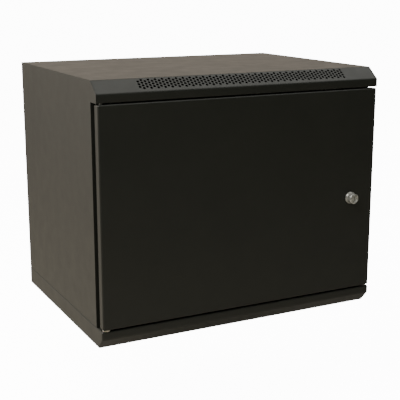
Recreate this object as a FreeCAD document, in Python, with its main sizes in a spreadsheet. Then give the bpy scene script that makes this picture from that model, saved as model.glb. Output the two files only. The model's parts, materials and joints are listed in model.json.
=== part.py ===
import FreeCAD, Part
import math
import os

import Sketcher

# Wall mount network cabinet for 19 inch equipment, in millimetres.
# X runs along the width, +Y to the wall, +Z up. The origin is the centre of the
# footprint, on the underside of the base.

SIZES = {
    # the box
    "width": 600,
    "depth": 450,
    "height": 496,
    "sheet": 1.2,
    "seam": 0.3,
    "flange": 13.8,
    # base and roof
    "base_height": 38,
    "base_lip": 15.4,
    "chamfer_depth": 19.8,
    "front_return": 30,
    "side_return": 20,
    "roof_lip": 16,
    "slope_depth": 27.5,
    "slope_height": 22,
    "return_upstand": 10,
    "roof_flange": 18,
    "panel_recess": 28,
    # perforation of the roof's slope
    "vent_hole": 5.5,
    "vent_column_pitch": 6.93,
    "vent_row_pitch": 7,
    "vent_edge": 5,
    "vent_rise": 0.8,
    "vent_left_margin": 87.5,
    "vent_right_margin": 67.5,
    # frame
    "post_sheet": 1.5,
    "post_face": 35,
    "post_leg": 30,
    "member_height": 40,
    "member_flange": 15,
    "member_lap": 20.2,
    "member_margin": 7,
    "slot_length": 80,
    # 19 inch rails
    "rack_units": 9,
    "unit_pitch": 44.45,
    "hole_pitch": 15.875,
    "rack_hole": 9.5,
    "hole_spacing": 465.1,
    "rack_opening": 450,
    "rail_sheet": 2,
    "rail_face": 25,
    "rail_leg": 40,
    "rail_end": 5,
    "front_rail_setback": 70,
    "rear_rail_setback": 75,
    "bolt_neck": 6,
    "bolt_head": 10,
    "bolt_head_height": 4,
    "nut_height": 5,
    # rear panel, wall fixing and cable entries
    "wall_hole": 10,
    "wall_spacing_across": 480,
    "wall_spacing_up": 340,
    "rear_entry_width": 240,
    "rear_entry_height": 80,
    "cover_lap": 12,
    "base_entry_width": 300,
    "base_entry_depth": 60,
    "base_entry_setback": 28,
    "trim_wall": 1.5,
    "trim_lap": 4,
    # door
    "door_side_gap": 1.75,
    "door_top_gap": 2.4,
    "door_bottom_gap": 3,
    "door_thickness": 18,
    "door_proud": 2,
    "door_return": 14,
    "stiffener_width": 30,
    "stiffener_depth": 13,
    "stiffener_flange": 10,
    "stiffener_spacing": 300,
    "stiffener_end": 6,
    "bumper_diameter": 11,
    "bumper_inset": 25,
    # hinges
    "hinge_inset": 9.25,
    "pin_diameter": 6,
    "pin_clearance": 0.06,
    "pin_reach": 8,
    "pin_lever": 24,
    "pin_tail": 12,
    "bracket_sheet": 2,
    "bracket_width": 12,
    "bracket_reach": 16,
    "upper_bracket_height": 44,
    "lower_bracket_height": 24,
    "clip_width": 11,
    "clip_thickness": 1.2,
    "spring_wire": 1,
    "spring_turns": 6,
    "washer_diameter": 14,
    # lock
    "lock_from_edge": 55,
    "lock_height": 194,
    "bezel_diameter": 24.5,
    "bezel_height": 4,
    "barrel_diameter": 21,
    "barrel_height": 15,
    "thread_diameter": 18.5,
    "thread_flats": 16,
    "barrel_end_gap": 2,
    "plug_diameter": 12,
    "plug_clearance": 0.06,
    "plug_recess": 0.6,
    "keyway_width": 2,
    "keyway_height": 7.5,
    "keyway_depth": 9,
    "lock_clip_width": 27,
    "lock_clip_sheet": 2,
    "cam_square": 8,
    "cam_clearance": 0.1,
    "cam_thickness": 2.5,
    "cam_width": 16,
    "cam_reach": 45,
    "cam_gap": 0.5,
}

FIT = 0.1  # all round a bolt, a clip or the lock's thread in its hole
BEND = 0.85  # outer radius of a folded edge, as a share of the sheet
SAME_AREA = math.sqrt(math.pi) / 2  # half the side of a square, for a circle's radius
COIL_STEPS = 8  # straight runs to one turn of the spring
LEFT = -1
RIGHT = 1
SIDES = {"left": LEFT, "right": RIGHT}

document = FreeCAD.newDocument("wall_cabinet")
sheet_table = document.addObject("Spreadsheet::Sheet", "Sizes")
pieces = []


class Size:
    """A length, held both as a number and as a formula over the cells of the sheet."""

    def __init__(self, number, formula):
        self.number = float(number)
        self.formula = formula

    def __add__(self, other):
        other = as_size(other)
        return Size(self.number + other.number, f"({self.formula} + {other.formula})")

    def __sub__(self, other):
        other = as_size(other)
        return Size(self.number - other.number, f"({self.formula} - {other.formula})")

    def __mul__(self, other):
        other = as_size(other)
        return Size(self.number * other.number, f"({self.formula} * {other.formula})")

    def __truediv__(self, other):
        other = as_size(other)
        return Size(self.number / other.number, f"({self.formula} / {other.formula})")

    def __neg__(self):
        return self * -1

    def __radd__(self, other):
        return as_size(other) + self

    def __rsub__(self, other):
        return as_size(other) - self

    def __rmul__(self, other):
        return as_size(other) * self


def as_size(value):
    if isinstance(value, Size):
        return value
    return Size(value, f"({float(value)})")


def root(size):
    return Size(math.sqrt(size.number), f"sqrt({size.formula})")


def slant(rise, run):
    """Angle in degrees of a line with this rise over this run."""
    angle = math.degrees(math.atan2(rise.number, run.number))
    return Size(angle, f"atan2({rise.formula}; {run.formula})")


def fill_sheet():
    """Writes every driving size to a cell with an alias, and gives them all back."""
    sizes = {}
    for row, (name, number) in enumerate(SIZES.items(), start=1):
        sheet_table.set(f"A{row}", name)
        sheet_table.set(f"B{row}", str(number))
        sheet_table.setAlias(f"B{row}", name)
        sizes[name] = Size(number, f"Sizes.{name}")
    document.recompute()
    return sizes


def bind(item, path, size):
    item.setExpression(path, as_size(size).formula)


# Drawing: each outline below is drawn in a sketch, with every point bound to the sheet.


def bind_point(sketch, element, end, x, y):
    for kind, size in (("DistanceX", as_size(x)), ("DistanceY", as_size(y))):
        constraint = Sketcher.Constraint(kind, -1, 1, element, end, size.number)
        index = sketch.addConstraint(constraint)
        sketch.setExpression(f"Constraints[{index}]", size.formula)


def bind_radius(sketch, element, radius):
    index = sketch.addConstraint(Sketcher.Constraint("Radius", element, radius.number))
    sketch.setExpression(f"Constraints[{index}]", radius.formula)


def flat(x, y):
    return FreeCAD.Vector(as_size(x).number, as_size(y).number, 0)


def polygon(points):
    def draw(sketch):
        first = sketch.GeometryCount
        count = len(points)
        for index, point in enumerate(points):
            following = points[(index + 1) % count]
            sketch.addGeometry(Part.LineSegment(flat(*point), flat(*following)), False)
        for index, point in enumerate(points):
            joint = Sketcher.Constraint(
                "Coincident", first + index, 2, first + (index + 1) % count, 1
            )
            sketch.addConstraint(joint)
            bind_point(sketch, first + index, 1, *point)

    return draw


def rectangle(x_low, x_high, y_low, y_high):
    return polygon([(x_low, y_low), (x_high, y_low), (x_high, y_high), (x_low, y_high)])


def circle(x, y, radius):
    def draw(sketch):
        element = sketch.addGeometry(
            Part.Circle(flat(x, y), FreeCAD.Vector(0, 0, 1), radius.number), False
        )
        bind_point(sketch, element, 3, x, y)
        bind_radius(sketch, element, radius)

    return draw


# Features: how the sketches become bodies.

PLANES = {"X": "YZ_Plane", "Y": "XZ_Plane", "Z": "XY_Plane"}


def new_body(label):
    body = document.addObject("PartDesign::Body", label)
    body.Label = label
    pieces.append(body)
    return body


def new_sketch(body, axis, position):
    """A sketch across one axis. Across Y its normal points to -Y, as in every XZ plane."""
    sketch = body.newObject("Sketcher::SketchObject", body.Name + "_sketch")
    plane = next(
        item for item in body.Origin.OriginFeatures if item.Role == PLANES[axis]
    )
    sketch.AttachmentSupport = [(plane, "")]
    sketch.MapMode = "FlatFace"
    distance = -as_size(position) if axis == "Y" else as_size(position)
    bind(sketch, ".AttachmentOffset.Base.z", distance)
    return sketch


def extrude(body, axis, start, length, outlines, cut=False):
    """Adds or cuts the outlines from start, for a length along the positive axis."""
    sketch = new_sketch(body, axis, start)
    for draw in outlines:
        draw(sketch)
    kind = "Pocket" if cut else "Pad"
    feature = body.newObject(f"PartDesign::{kind}", f"{body.Name}_{kind}")
    feature.Profile = sketch
    bind(feature, "Length", length)
    feature.Reversed = cut != (axis == "Y")
    return feature


def cut_through(body, axis, start, length, outlines):
    return extrude(body, axis, start, length, outlines, cut=True)


def revolve(body, outline):
    """Turns an outline of (radius, height) points about the body's own Z axis."""
    sketch = new_sketch(body, "Y", 0)
    polygon(outline)(sketch)
    feature = body.newObject("PartDesign::Revolution", f"{body.Name}_Revolution")
    feature.Profile = sketch
    feature.ReferenceAxis = (sketch, ["V_Axis"])
    feature.Angle = 360
    return feature


def repeat(body, feature, axis_name, step, count):
    """Repeats a feature along an axis of its own sketch."""
    pattern = body.newObject("PartDesign::LinearPattern", f"{body.Name}_Pattern")
    pattern.Originals = [feature]
    pattern.Direction = (feature.Profile[0], [axis_name])
    bind(pattern, "Length", step * (as_size(count) - 1))
    bind(pattern, "Occurrences", count)
    body.Tip = pattern
    return pattern


def round_edges(body, radius, test):
    """Rounds the edges of the body's last feature whose two ends and middle pass a test."""
    document.recompute()
    base = body.Tip
    names = []
    for index, edge in enumerate(base.Shape.Edges, start=1):
        points = [vertex.Point for vertex in edge.Vertexes] + [edge.CenterOfMass]
        if all(test(point) for point in points):
            names.append(f"Edge{index}")
    if not names:
        raise RuntimeError(f"{body.Label} has no edge to round")
    fillet = body.newObject("PartDesign::Fillet", f"{body.Name}_Fillet")
    fillet.Base = (base, names)
    bind(fillet, "Radius", radius)
    return fillet


def near(value, size):
    return abs(value - as_size(size).number) < 0.001


def place(item, x, y, z, turn_axis=None, angle=0):
    if turn_axis:
        rotation = FreeCAD.Rotation(FreeCAD.Vector(*turn_axis), angle)
        item.Placement = FreeCAD.Placement(FreeCAD.Vector(), rotation)
    for axis, size in zip("xyz", (x, y, z)):
        bind(item, f".Placement.Base.{axis}", size)


def primitive(kind, name, sizes, x, y, z, turn_axis=None, angle=0):
    item = document.addObject(f"Part::{kind}", name)
    for path, size in sizes.items():
        bind(item, path, size)
    place(item, x, y, z, turn_axis, angle)
    return item


def group(label, items):
    compound = document.addObject("Part::Compound", label)
    compound.Links = items
    compound.Label = label
    pieces.append(compound)
    return compound


def inset(first, second, wall):
    """Where a wall's inner skin turns beside a chamfer that is `first` by `second`.

    The chamfer cuts the corner of two walls. Measured from that corner, the inner
    skin of the chamfer meets the inner skin of the second wall at the first distance
    given back, and that of the first wall at the second.
    """
    length = root(first * first + second * second)
    shift = 1 + wall * length / (first * second)
    return first * (shift - wall / second), second * (shift - wall / first)


size = fill_sheet()

half = size["width"] / 2
front = -size["depth"] / 2
back = size["depth"] / 2
top = size["height"]
sheet = size["sheet"]
seam = size["seam"]
bend = sheet * BEND
inner = half - sheet
lip_bottom = top - size["roof_lip"] - size["slope_height"]
panel_front = front + size["panel_recess"]
panel_bottom = size["base_height"] + seam
frame_bottom = panel_bottom + sheet
frame_top = lip_bottom - seam
post_front = panel_front + sheet
post_back = back - sheet

door_front = front - size["door_proud"]
door_back = door_front + size["door_thickness"]
door_inside = door_front + sheet
door_left = -half + size["door_side_gap"]
door_right = half - size["door_side_gap"]
door_bottom = size["base_height"] + size["door_bottom_gap"]
door_top = lip_bottom - size["door_top_gap"]

hinge_x = door_left + size["hinge_inset"]
hinge_y = door_front + size["door_thickness"] / 2
pin_radius = size["pin_diameter"] / 2
pin_hole = pin_radius + size["pin_clearance"]
lock_x = door_right - size["lock_from_edge"]
lock_z = door_bottom + size["lock_height"]

member_front = post_front + size["post_sheet"]
member_back = post_back - size["post_sheet"]
rail_outer = size["rack_opening"] / 2 + size["rail_face"]
rack_height = size["unit_pitch"] * size["rack_units"]
rack_bottom = (size["base_height"] + lip_bottom - rack_height) / 2
rail_bottom = rack_bottom - size["rail_end"]
rail_length = rack_height + size["rail_end"] * 2
front_rail = front + size["front_rail_setback"]
rear_rail = back - size["rear_rail_setback"]
lower_member = rail_bottom + size["member_margin"]
upper_member = rail_bottom + rail_length - size["member_margin"] - size["member_height"]
bolt_heights = [
    lower_member + size["member_height"] / 2,
    upper_member + size["member_height"] / 2,
]
bolt_rows = [front_rail + size["rail_leg"] / 2, rear_rail - size["rail_leg"] / 2]


# Covers: the roof, the base, the two sides and the rear, all of folded sheet.


def make_roof():
    """One folded sheet: lip with its return, perforated slope, top, rear flange."""
    body = new_body("roof_cover")
    edge = inner - seam
    first, second = inset(size["slope_depth"], size["slope_height"], sheet)
    return_end = front + size["front_return"]
    extrude(
        body,
        "X",
        -edge,
        edge * 2,
        [
            polygon(
                [
                    (front, lip_bottom),
                    (front, lip_bottom + size["roof_lip"]),
                    (front + size["slope_depth"], top),
                    (back, top),
                    (back, lip_bottom),
                    (back - sheet, lip_bottom),
                    (back - sheet, top - sheet),
                    (front + first, top - sheet),
                    (front + sheet, top - second),
                    (front + sheet, lip_bottom + sheet),
                    (return_end - sheet, lip_bottom + sheet),
                    (return_end - sheet, lip_bottom + size["return_upstand"]),
                    (return_end, lip_bottom + size["return_upstand"]),
                    (return_end, lip_bottom),
                ]
            )
        ],
    )
    for side in (-edge, edge - sheet):
        extrude(
            body,
            "X",
            side,
            sheet,
            [
                rectangle(
                    front + size["slope_depth"] + sheet * 2,
                    back - sheet / 2,
                    top - size["roof_flange"],
                    top - sheet / 2,
                )
            ],
        )
    cut_through(body, "Z", lip_bottom, sheet, [circle(hinge_x, hinge_y, pin_hole)])
    folds = [
        (front, lip_bottom),
        (front, lip_bottom + size["roof_lip"]),
        (front + size["slope_depth"], top),
        (back, top),
        (return_end, lip_bottom),
    ]
    round_edges(
        body, bend, lambda point: any(near(point.y, y) and near(point.z, z) for y, z in folds)
    )
    perforate(body)


def perforate(body):
    """Staggered holes along the slope, cut column pair by column pair.

    Each hole is a square with the area of the round hole it stands for.
    """
    slope = root(
        size["slope_depth"] * size["slope_depth"]
        + size["slope_height"] * size["slope_height"]
    )
    pitch = size["vent_row_pitch"]
    column = size["vent_column_pitch"]
    rows = int((slope - size["vent_edge"] * 2).number / pitch.number) + 1
    run = size["width"] - size["vent_left_margin"] - size["vent_right_margin"]
    pairs = int(run.number / (column.number * 2))
    sketch = new_sketch(body, "Z", 0)
    bind(sketch, ".AttachmentOffset.Base.y", front)
    bind(sketch, ".AttachmentOffset.Base.z", lip_bottom + size["roof_lip"])
    turn = slant(size["slope_height"], size["slope_depth"])
    sketch.AttachmentOffset = FreeCAD.Placement(
        FreeCAD.Vector(), FreeCAD.Rotation(FreeCAD.Vector(1, 0, 0), turn.number)
    )
    bind(sketch, ".AttachmentOffset.Rotation.Angle", turn)
    middle = slope / 2 + size["vent_rise"]
    start = -half + size["vent_left_margin"]
    reach = size["vent_hole"] / 2 * SAME_AREA
    for along, count in ((start, rows - 1), (start + column, rows)):
        for row in range(count):
            height = middle + pitch * (row - (count - 1) / 2)
            hole = rectangle(along - reach, along + reach, height - reach, height + reach)
            hole(sketch)
    pocket = body.newObject("PartDesign::Pocket", "perforation")
    pocket.Profile = sketch
    bind(pocket, "Length", sheet * 2)
    repeat(body, pocket, "H_Axis", column * 2, pairs)


def make_base():
    """A pan with a chamfered front, returns along its top edges and one cable entry."""
    body = new_body("base_pan")
    height = size["base_height"]
    chamfer_height = height - size["base_lip"]
    first, second = inset(size["chamfer_depth"], chamfer_height, sheet)
    extrude(
        body,
        "X",
        -half,
        half * 2,
        [
            polygon(
                [
                    (front, height),
                    (front, chamfer_height),
                    (front + size["chamfer_depth"], 0),
                    (back, 0),
                    (back, height),
                ]
            )
        ],
    )
    cut_through(
        body,
        "X",
        -inner,
        inner * 2,
        [
            polygon(
                [
                    (front + sheet, height - sheet),
                    (front + sheet, second),
                    (front + first, sheet),
                    (back, sheet),
                    (back, height),
                    (back - sheet, height),
                    (back - sheet, height - sheet),
                ]
            )
        ],
    )
    opening = rectangle(
        -half + size["side_return"],
        half - size["side_return"],
        front + size["front_return"],
        back,
    )
    cut_through(body, "Z", height - sheet, sheet, [opening])
    cut_through(body, "Z", height - sheet, sheet, [circle(hinge_x, hinge_y, pin_hole)])
    cut_through(body, "Z", 0, sheet, [base_entry(0)])

    def folded(point):
        on_end = near(abs(point.x), half)
        on_rim = near(point.z, 0) or near(point.z, height)
        on_front = near(point.y, front) and (on_rim or near(point.z, chamfer_height))
        at_chamfer = near(point.y, front + size["chamfer_depth"]) and near(point.z, 0)
        return on_end and on_rim or on_front or at_chamfer

    round_edges(body, bend, folded)


def make_base_strip():
    """An angle that stands on the base plate and closes the pan's rear."""
    body = new_body("base_rear_strip")
    height = size["base_height"]
    extrude(body, "X", -inner, inner * 2, [rectangle(back - sheet, back, sheet, height)])
    reach = half - size["side_return"]
    far = back - size["side_return"]
    shelf = rectangle(far, back - sheet / 2, height - sheet, height)
    extrude(body, "X", -reach, reach * 2, [shelf])
    round_edges(body, bend, lambda point: near(point.y, back) and near(point.z, height))


def base_entry(margin):
    """The outline of the cable entry in the base, grown by a margin all round."""
    reach = size["base_entry_width"] / 2 + margin
    far = back - size["base_entry_setback"]
    return rectangle(-reach, reach, far - size["base_entry_depth"] - margin, far + margin)


def make_side_panel(name, side):
    """A flat side whose nose closes the roof's end, with three folded flanges."""
    body = new_body(f"{name}_side_panel")
    outline = polygon(
        [
            (panel_front, panel_bottom),
            (back, panel_bottom),
            (back, top),
            (front + size["slope_depth"], top),
            (front, lip_bottom + size["roof_lip"]),
            (front, lip_bottom),
            (panel_front, lip_bottom),
        ]
    )
    plate = -half if side == LEFT else half - sheet
    extrude(body, "X", plate, sheet, [outline])
    reach = size["flange"] + sheet / 2
    flange = -half + sheet / 2 if side == LEFT else half - sheet / 2 - reach
    extrude(
        body,
        "X",
        flange,
        reach,
        [rectangle(panel_front, panel_front + sheet, panel_bottom, frame_top)],
    )
    extrude(body, "X", flange, reach, [rectangle(back - sheet, back, panel_bottom, frame_top)])
    extrude(
        body, "X", flange, reach, [rectangle(panel_front, back, panel_bottom, frame_bottom)]
    )

    def outer(point):
        at_front = near(point.y, panel_front) and point.z < lip_bottom.number
        return near(abs(point.x), half) and (
            at_front or near(point.y, back) or near(point.z, panel_bottom)
        )

    round_edges(body, bend, outer)


def wall_holes(z):
    reach = size["wall_spacing_across"] / 2
    return [circle(x, z, size["wall_hole"] / 2) for x in (-reach, reach)]


def make_rear():
    """The rear panel with its wall fixing holes, and the cover of its cable entry."""
    middle = (size["base_height"] + lip_bottom) / 2
    rise = size["wall_spacing_up"] / 2
    reach = inner - size["flange"] - seam
    entry_reach = size["rear_entry_width"] / 2
    entry_rise = size["rear_entry_height"] / 2
    body = new_body("rear_panel")
    extrude(
        body,
        "Y",
        back - sheet,
        sheet,
        [rectangle(-reach, reach, panel_bottom, frame_top)]
        + [rectangle(-entry_reach, entry_reach, middle - entry_rise, middle + entry_rise)]
        + wall_holes(middle - rise)
        + wall_holes(middle + rise),
    )
    lap = size["cover_lap"]
    cover = new_body("rear_entry_cover")
    extrude(
        cover,
        "Y",
        back - sheet * 2,
        sheet,
        [
            rectangle(
                -entry_reach - lap,
                entry_reach + lap,
                middle - entry_rise - lap,
                middle + entry_rise + lap,
            )
        ],
    )


def make_entry_trim():
    """A rubber lining that laps over the base plate round the cable entry."""
    body = new_body("base_entry_trim")
    wall = size["trim_wall"]
    extrude(body, "Z", sheet, wall, [base_entry(size["trim_lap"]), base_entry(-wall)])
    extrude(body, "Z", seam, sheet, [base_entry(0), base_entry(-wall)])


# Frame: four corner posts and four depth members that carry the rails.


def make_post(name, side, at_front):
    """An L section: one leg on the side panel, one across the cabinet's corner."""
    body = new_body(f"{name}_post")
    wall = size["post_sheet"]
    outer_x = inner * side
    step = wall * side
    start, direction = (post_front, 1) if at_front else (post_back, -1)
    face_end = outer_x - size["post_face"] * side
    extrude(
        body,
        "Z",
        frame_bottom,
        frame_top - frame_bottom,
        [
            polygon(
                [
                    (outer_x, start),
                    (face_end, start),
                    (face_end, start + wall * direction),
                    (outer_x - step, start + wall * direction),
                    (outer_x - step, start + size["post_leg"] * direction),
                    (outer_x, start + size["post_leg"] * direction),
                ]
            )
        ],
    )


def make_member(name, side, bottom):
    """A web with slots for the rails, a stiffening flange and a tab at each end."""
    body = new_body(f"{name}_depth_member")
    wall = size["post_sheet"]
    inside = rail_outer * side
    outside = inside + wall * side
    height = size["member_height"]
    length = member_back - member_front
    flange_end = outside + size["member_flange"] * side
    extrude(
        body,
        "Y",
        member_front,
        length,
        [
            polygon(
                [
                    (inside, bottom),
                    (flange_end, bottom),
                    (flange_end, bottom + wall),
                    (outside, bottom + wall),
                    (outside, bottom + height),
                    (inside, bottom + height),
                ]
            )
        ],
    )
    tab_end = (inner - size["post_face"] + size["member_lap"]) * side
    for start in (member_front, member_back - wall):
        extrude(body, "Y", start, wall, [rectangle(inside, tab_end, bottom, bottom + height)])
    gap = size["bolt_neck"] / 2 + FIT
    reach = size["slot_length"] / 2
    middle = bottom + height / 2
    cut_through(
        body,
        "X",
        inside if side == RIGHT else outside,
        wall,
        [rectangle(y - reach, y + reach, middle - gap, middle + gap) for y in bolt_rows],
    )


# Rails with square holes in groups of three to the rack unit.


def make_rail(name, side, at_front):
    body = new_body(f"{name}_rack_rail")
    wall = size["rail_sheet"]
    inside = size["rack_opening"] / 2 * side
    outside = rail_outer * side
    start, direction = (front_rail, 1) if at_front else (rear_rail, -1)
    extrude(
        body,
        "Z",
        rail_bottom,
        rail_length,
        [
            polygon(
                [
                    (inside, start),
                    (outside, start),
                    (outside, start + size["rail_leg"] * direction),
                    (outside - wall * side, start + size["rail_leg"] * direction),
                    (outside - wall * side, start + wall * direction),
                    (inside, start + wall * direction),
                ]
            )
        ],
    )
    gap = size["bolt_neck"] / 2 + FIT
    row = bolt_rows[0] if at_front else bolt_rows[1]
    cut_through(
        body,
        "X",
        outside - wall if side == RIGHT else outside,
        wall,
        [rectangle(row - gap, row + gap, z - gap, z + gap) for z in bolt_heights],
    )
    hole_x = size["hole_spacing"] / 2 * side
    reach = size["rack_hole"] / 2
    holes = []
    for step in (-1, 0, 1):
        z = rack_bottom + size["unit_pitch"] / 2 + size["hole_pitch"] * step
        holes.append(rectangle(hole_x - reach, hole_x + reach, z - reach, z + reach))
    face = start if at_front else start - wall
    pocket = cut_through(body, "Y", face, wall, holes)
    repeat(body, pocket, "V_Axis", size["unit_pitch"], size["rack_units"])


def make_rail_fasteners():
    """Square-necked hex bolts through the rails' legs and the members' slots, with nuts."""
    bolts = []
    nuts = []
    neck = size["bolt_neck"]
    corner = size["bolt_head"] / math.sqrt(3)
    grip = size["rail_sheet"] + size["post_sheet"]
    head_height = size["bolt_head_height"]
    for side in SIDES.values():
        inside = (rail_outer - size["rail_sheet"]) * side
        outside = (rail_outer + size["post_sheet"]) * side
        turned = {"turn_axis": (0, 1, 0), "angle": 90 * side}
        for y in bolt_rows:
            for z in bolt_heights:
                head = primitive(
                    "Prism",
                    "bolt_head",
                    {"Circumradius": corner, "Height": head_height},
                    inside - head_height * side,
                    y,
                    z,
                    **turned,
                )
                shank = primitive(
                    "Box",
                    "bolt_neck",
                    {"Length": grip, "Width": neck, "Height": neck},
                    inside if side == RIGHT else outside,
                    y - neck / 2,
                    z - neck / 2,
                )
                bolt = document.addObject("Part::Fuse", "rail_bolt")
                bolt.Base = head
                bolt.Tool = shank
                bolts.append(bolt)
                nut = primitive(
                    "Prism",
                    "rail_nut",
                    {"Circumradius": corner, "Height": size["nut_height"]},
                    outside,
                    y,
                    z,
                    **turned,
                )
                nuts.append(nut)
    group("rail_bolts", bolts)
    group("rail_nuts", nuts)


# Door: a folded pan, its stiffeners, hinges and lock.


def make_door():
    """A pan open to the rear, with a return all round its edge."""
    body = new_body("door_panel")
    leaf = rectangle(door_left, door_right, door_bottom, door_top)
    hollow = rectangle(
        door_left + sheet, door_right - sheet, door_bottom + sheet, door_top - sheet
    )
    lip = size["door_return"]
    opening = rectangle(
        door_left + lip, door_right - lip, door_bottom + lip, door_top - lip
    )
    extrude(body, "Y", door_front, size["door_thickness"], [leaf])
    cut_through(body, "Y", door_inside, size["door_thickness"] - sheet * 2, [hollow])
    cut_through(body, "Y", door_back - sheet, sheet, [opening])
    pin = circle(hinge_x, hinge_y, pin_hole)
    cut_through(body, "Z", door_bottom, sheet, [pin])
    cut_through(body, "Z", door_top - sheet, sheet, [pin])
    thread = size["thread_diameter"] / 2 + FIT
    cut_through(body, "Y", door_front, sheet, [circle(lock_x, lock_z, thread)])

    def folded(point):
        on_side = near(point.x, door_left) or near(point.x, door_right)
        on_end = near(point.z, door_bottom) or near(point.z, door_top)
        on_face = near(point.y, door_front) or near(point.y, door_back)
        return on_face and (on_side or on_end)

    round_edges(body, bend, folded)


def make_stiffener(name, x):
    """A hat section behind the door's face."""
    body = new_body(f"{name}_door_stiffener")
    half_width = size["stiffener_width"] / 2
    flange_end = half_width + size["stiffener_flange"]
    near_face = door_inside
    crown = door_inside + size["stiffener_depth"]
    right_half = [
        (flange_end, near_face),
        (flange_end, near_face + sheet),
        (half_width, near_face + sheet),
        (half_width, crown),
    ]
    inner_half = [
        (half_width - sheet, crown - sheet),
        (half_width - sheet, near_face),
    ]
    outline = [(x + across, y) for across, y in right_half]
    outline += [(x - across, y) for across, y in reversed(right_half)]
    outline += [(x - across, y) for across, y in reversed(inner_half)]
    outline += [(x + across, y) for across, y in inner_half]
    bottom = door_bottom + sheet + size["stiffener_end"]
    end = door_top - sheet - size["stiffener_end"]
    extrude(body, "Z", bottom, end - bottom, [polygon(outline)])


def make_hinge_bracket(name, bottom, height, has_upper_ear):
    """A folded bracket in the door's corner, with one or two ears for the hinge pin."""
    body = new_body(f"{name}_hinge_bracket")
    wall = size["bracket_sheet"]
    seat = door_left + sheet
    reach = seat + size["bracket_reach"]
    low_ear = [
        (seat, bottom),
        (reach, bottom),
        (reach, bottom + wall),
        (seat + wall, bottom + wall),
    ]
    if has_upper_ear:
        high_end = [
            (seat + wall, bottom + height - wall),
            (reach, bottom + height - wall),
            (reach, bottom + height),
            (seat, bottom + height),
        ]
    else:
        high_end = [(seat + wall, bottom + height), (seat, bottom + height)]
    extrude(
        body,
        "Y",
        hinge_y - size["bracket_width"] / 2,
        size["bracket_width"],
        [polygon(low_ear + high_end)],
    )
    cut_through(body, "Z", bottom, height, [circle(hinge_x, hinge_y, pin_hole)])


upper_bracket_top = door_top - sheet
upper_bracket_bottom = upper_bracket_top - size["upper_bracket_height"]
lower_bracket_bottom = door_bottom + sheet
clip_top = upper_bracket_top - size["bracket_sheet"] - seam
clip_bottom = clip_top - size["clip_thickness"]
spring_bottom = upper_bracket_bottom + size["bracket_sheet"]


def make_upper_pin():
    """The sprung pin, its foot turned square into a lever for the finger."""
    body = new_body("upper_hinge_pin")
    pin_top = lip_bottom + size["pin_reach"] / 2
    lever_z = upper_bracket_bottom - size["pin_tail"]
    lever_end = hinge_x + size["pin_lever"]
    path = new_sketch(body, "Y", hinge_y)
    rod = Part.LineSegment(flat(hinge_x, pin_top), flat(hinge_x, lever_z))
    lever = Part.LineSegment(flat(hinge_x, lever_z), flat(lever_end, lever_z))
    down, out = path.addGeometry([rod, lever], False)
    path.addConstraint(Sketcher.Constraint("Coincident", down, 2, out, 1))
    bind_point(path, down, 1, hinge_x, pin_top)
    bind_point(path, down, 2, hinge_x, lever_z)
    bind_point(path, out, 2, lever_end, lever_z)
    section = new_sketch(body, "Z", pin_top)
    circle(hinge_x, hinge_y, pin_radius)(section)
    pipe = body.newObject("PartDesign::AdditivePipe", "bent_rod")
    pipe.Profile = section
    pipe.Spine = path
    pipe.Transition = "Right corner"


def make_spring():
    """A coil of square wire round the pin, between the bracket's lower ear and the clip."""
    turn = 2 * math.pi / COIL_STEPS
    wire = size["spring_wire"].number
    coil = (pin_hole + seam + wire / 2).number / math.cos(turn / 2)
    rise = (clip_bottom - spring_bottom - seam * 2).number - wire
    count = int(size["spring_turns"].number) * COIL_STEPS
    points = []
    for step in range(count + 1):
        x = coil * math.cos(turn * step)
        y = coil * math.sin(turn * step)
        points.append(FreeCAD.Vector(x, y, wire / 2 + rise * step / count))
    run = (points[1] - points[0]).normalize()
    up = run.cross(FreeCAD.Vector(1, 0, 0)).normalize() * (wire / 2)
    out = up.cross(run).normalize() * (wire / 2)
    corners = [up + out, up - out, -up - out, out - up]
    section = Part.makePolygon([points[0] + corner for corner in corners + corners[:1]])
    right_corner = 1
    spring = document.addObject("Part::Feature", "upper_pin_spring")
    spring.Label = "upper_pin_spring"
    spring.Shape = Part.makePolygon(points).makePipeShell([section], True, True, right_corner)
    place(spring, hinge_x, hinge_y, spring_bottom + seam)
    pieces.append(spring)


def make_clip():
    """A flat U in the pin's groove, which the spring pushes on."""
    body = new_body("upper_pin_clip")
    reach = size["clip_width"] / 2
    gap = pin_radius + FIT / 2
    u_shape = [
        (-reach, -reach),
        (reach, -reach),
        (reach, reach),
        (gap, reach),
        (gap, -gap),
        (-gap, -gap),
        (-gap, reach),
        (-reach, reach),
    ]
    extrude(body, "Z", 0, size["clip_thickness"], [polygon(u_shape)])
    place(body, hinge_x, hinge_y, clip_bottom)


def make_lower_pin():
    """A plain pin pressed into the door's bracket, turning in the return of the base."""
    ear_top = lower_bracket_bottom + size["bracket_sheet"]
    foot = size["base_height"] - size["pin_reach"]
    body = new_body("lower_hinge_pin")
    extrude(
        body, "Z", foot, ear_top - foot + size["pin_reach"], [circle(hinge_x, hinge_y, pin_radius)]
    )


def make_hinge_washer():
    """A nylon washer on the base that carries the door."""
    body = new_body("lower_hinge_washer")
    height = size["door_bottom_gap"] - seam
    rim = circle(hinge_x, hinge_y, size["washer_diameter"] / 2)
    extrude(body, "Z", size["base_height"], height, [rim, circle(hinge_x, hinge_y, pin_hole)])


# Lock: local Z points out of the door, local Y up.

OUTWARD = {"turn_axis": (1, 0, 0), "angle": 90}
cam_front = member_front + size["cam_gap"]
cam_back = cam_front + size["cam_thickness"]
square_end = door_front - cam_back + size["cam_clearance"]
cam_seat = door_front - cam_front


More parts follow.
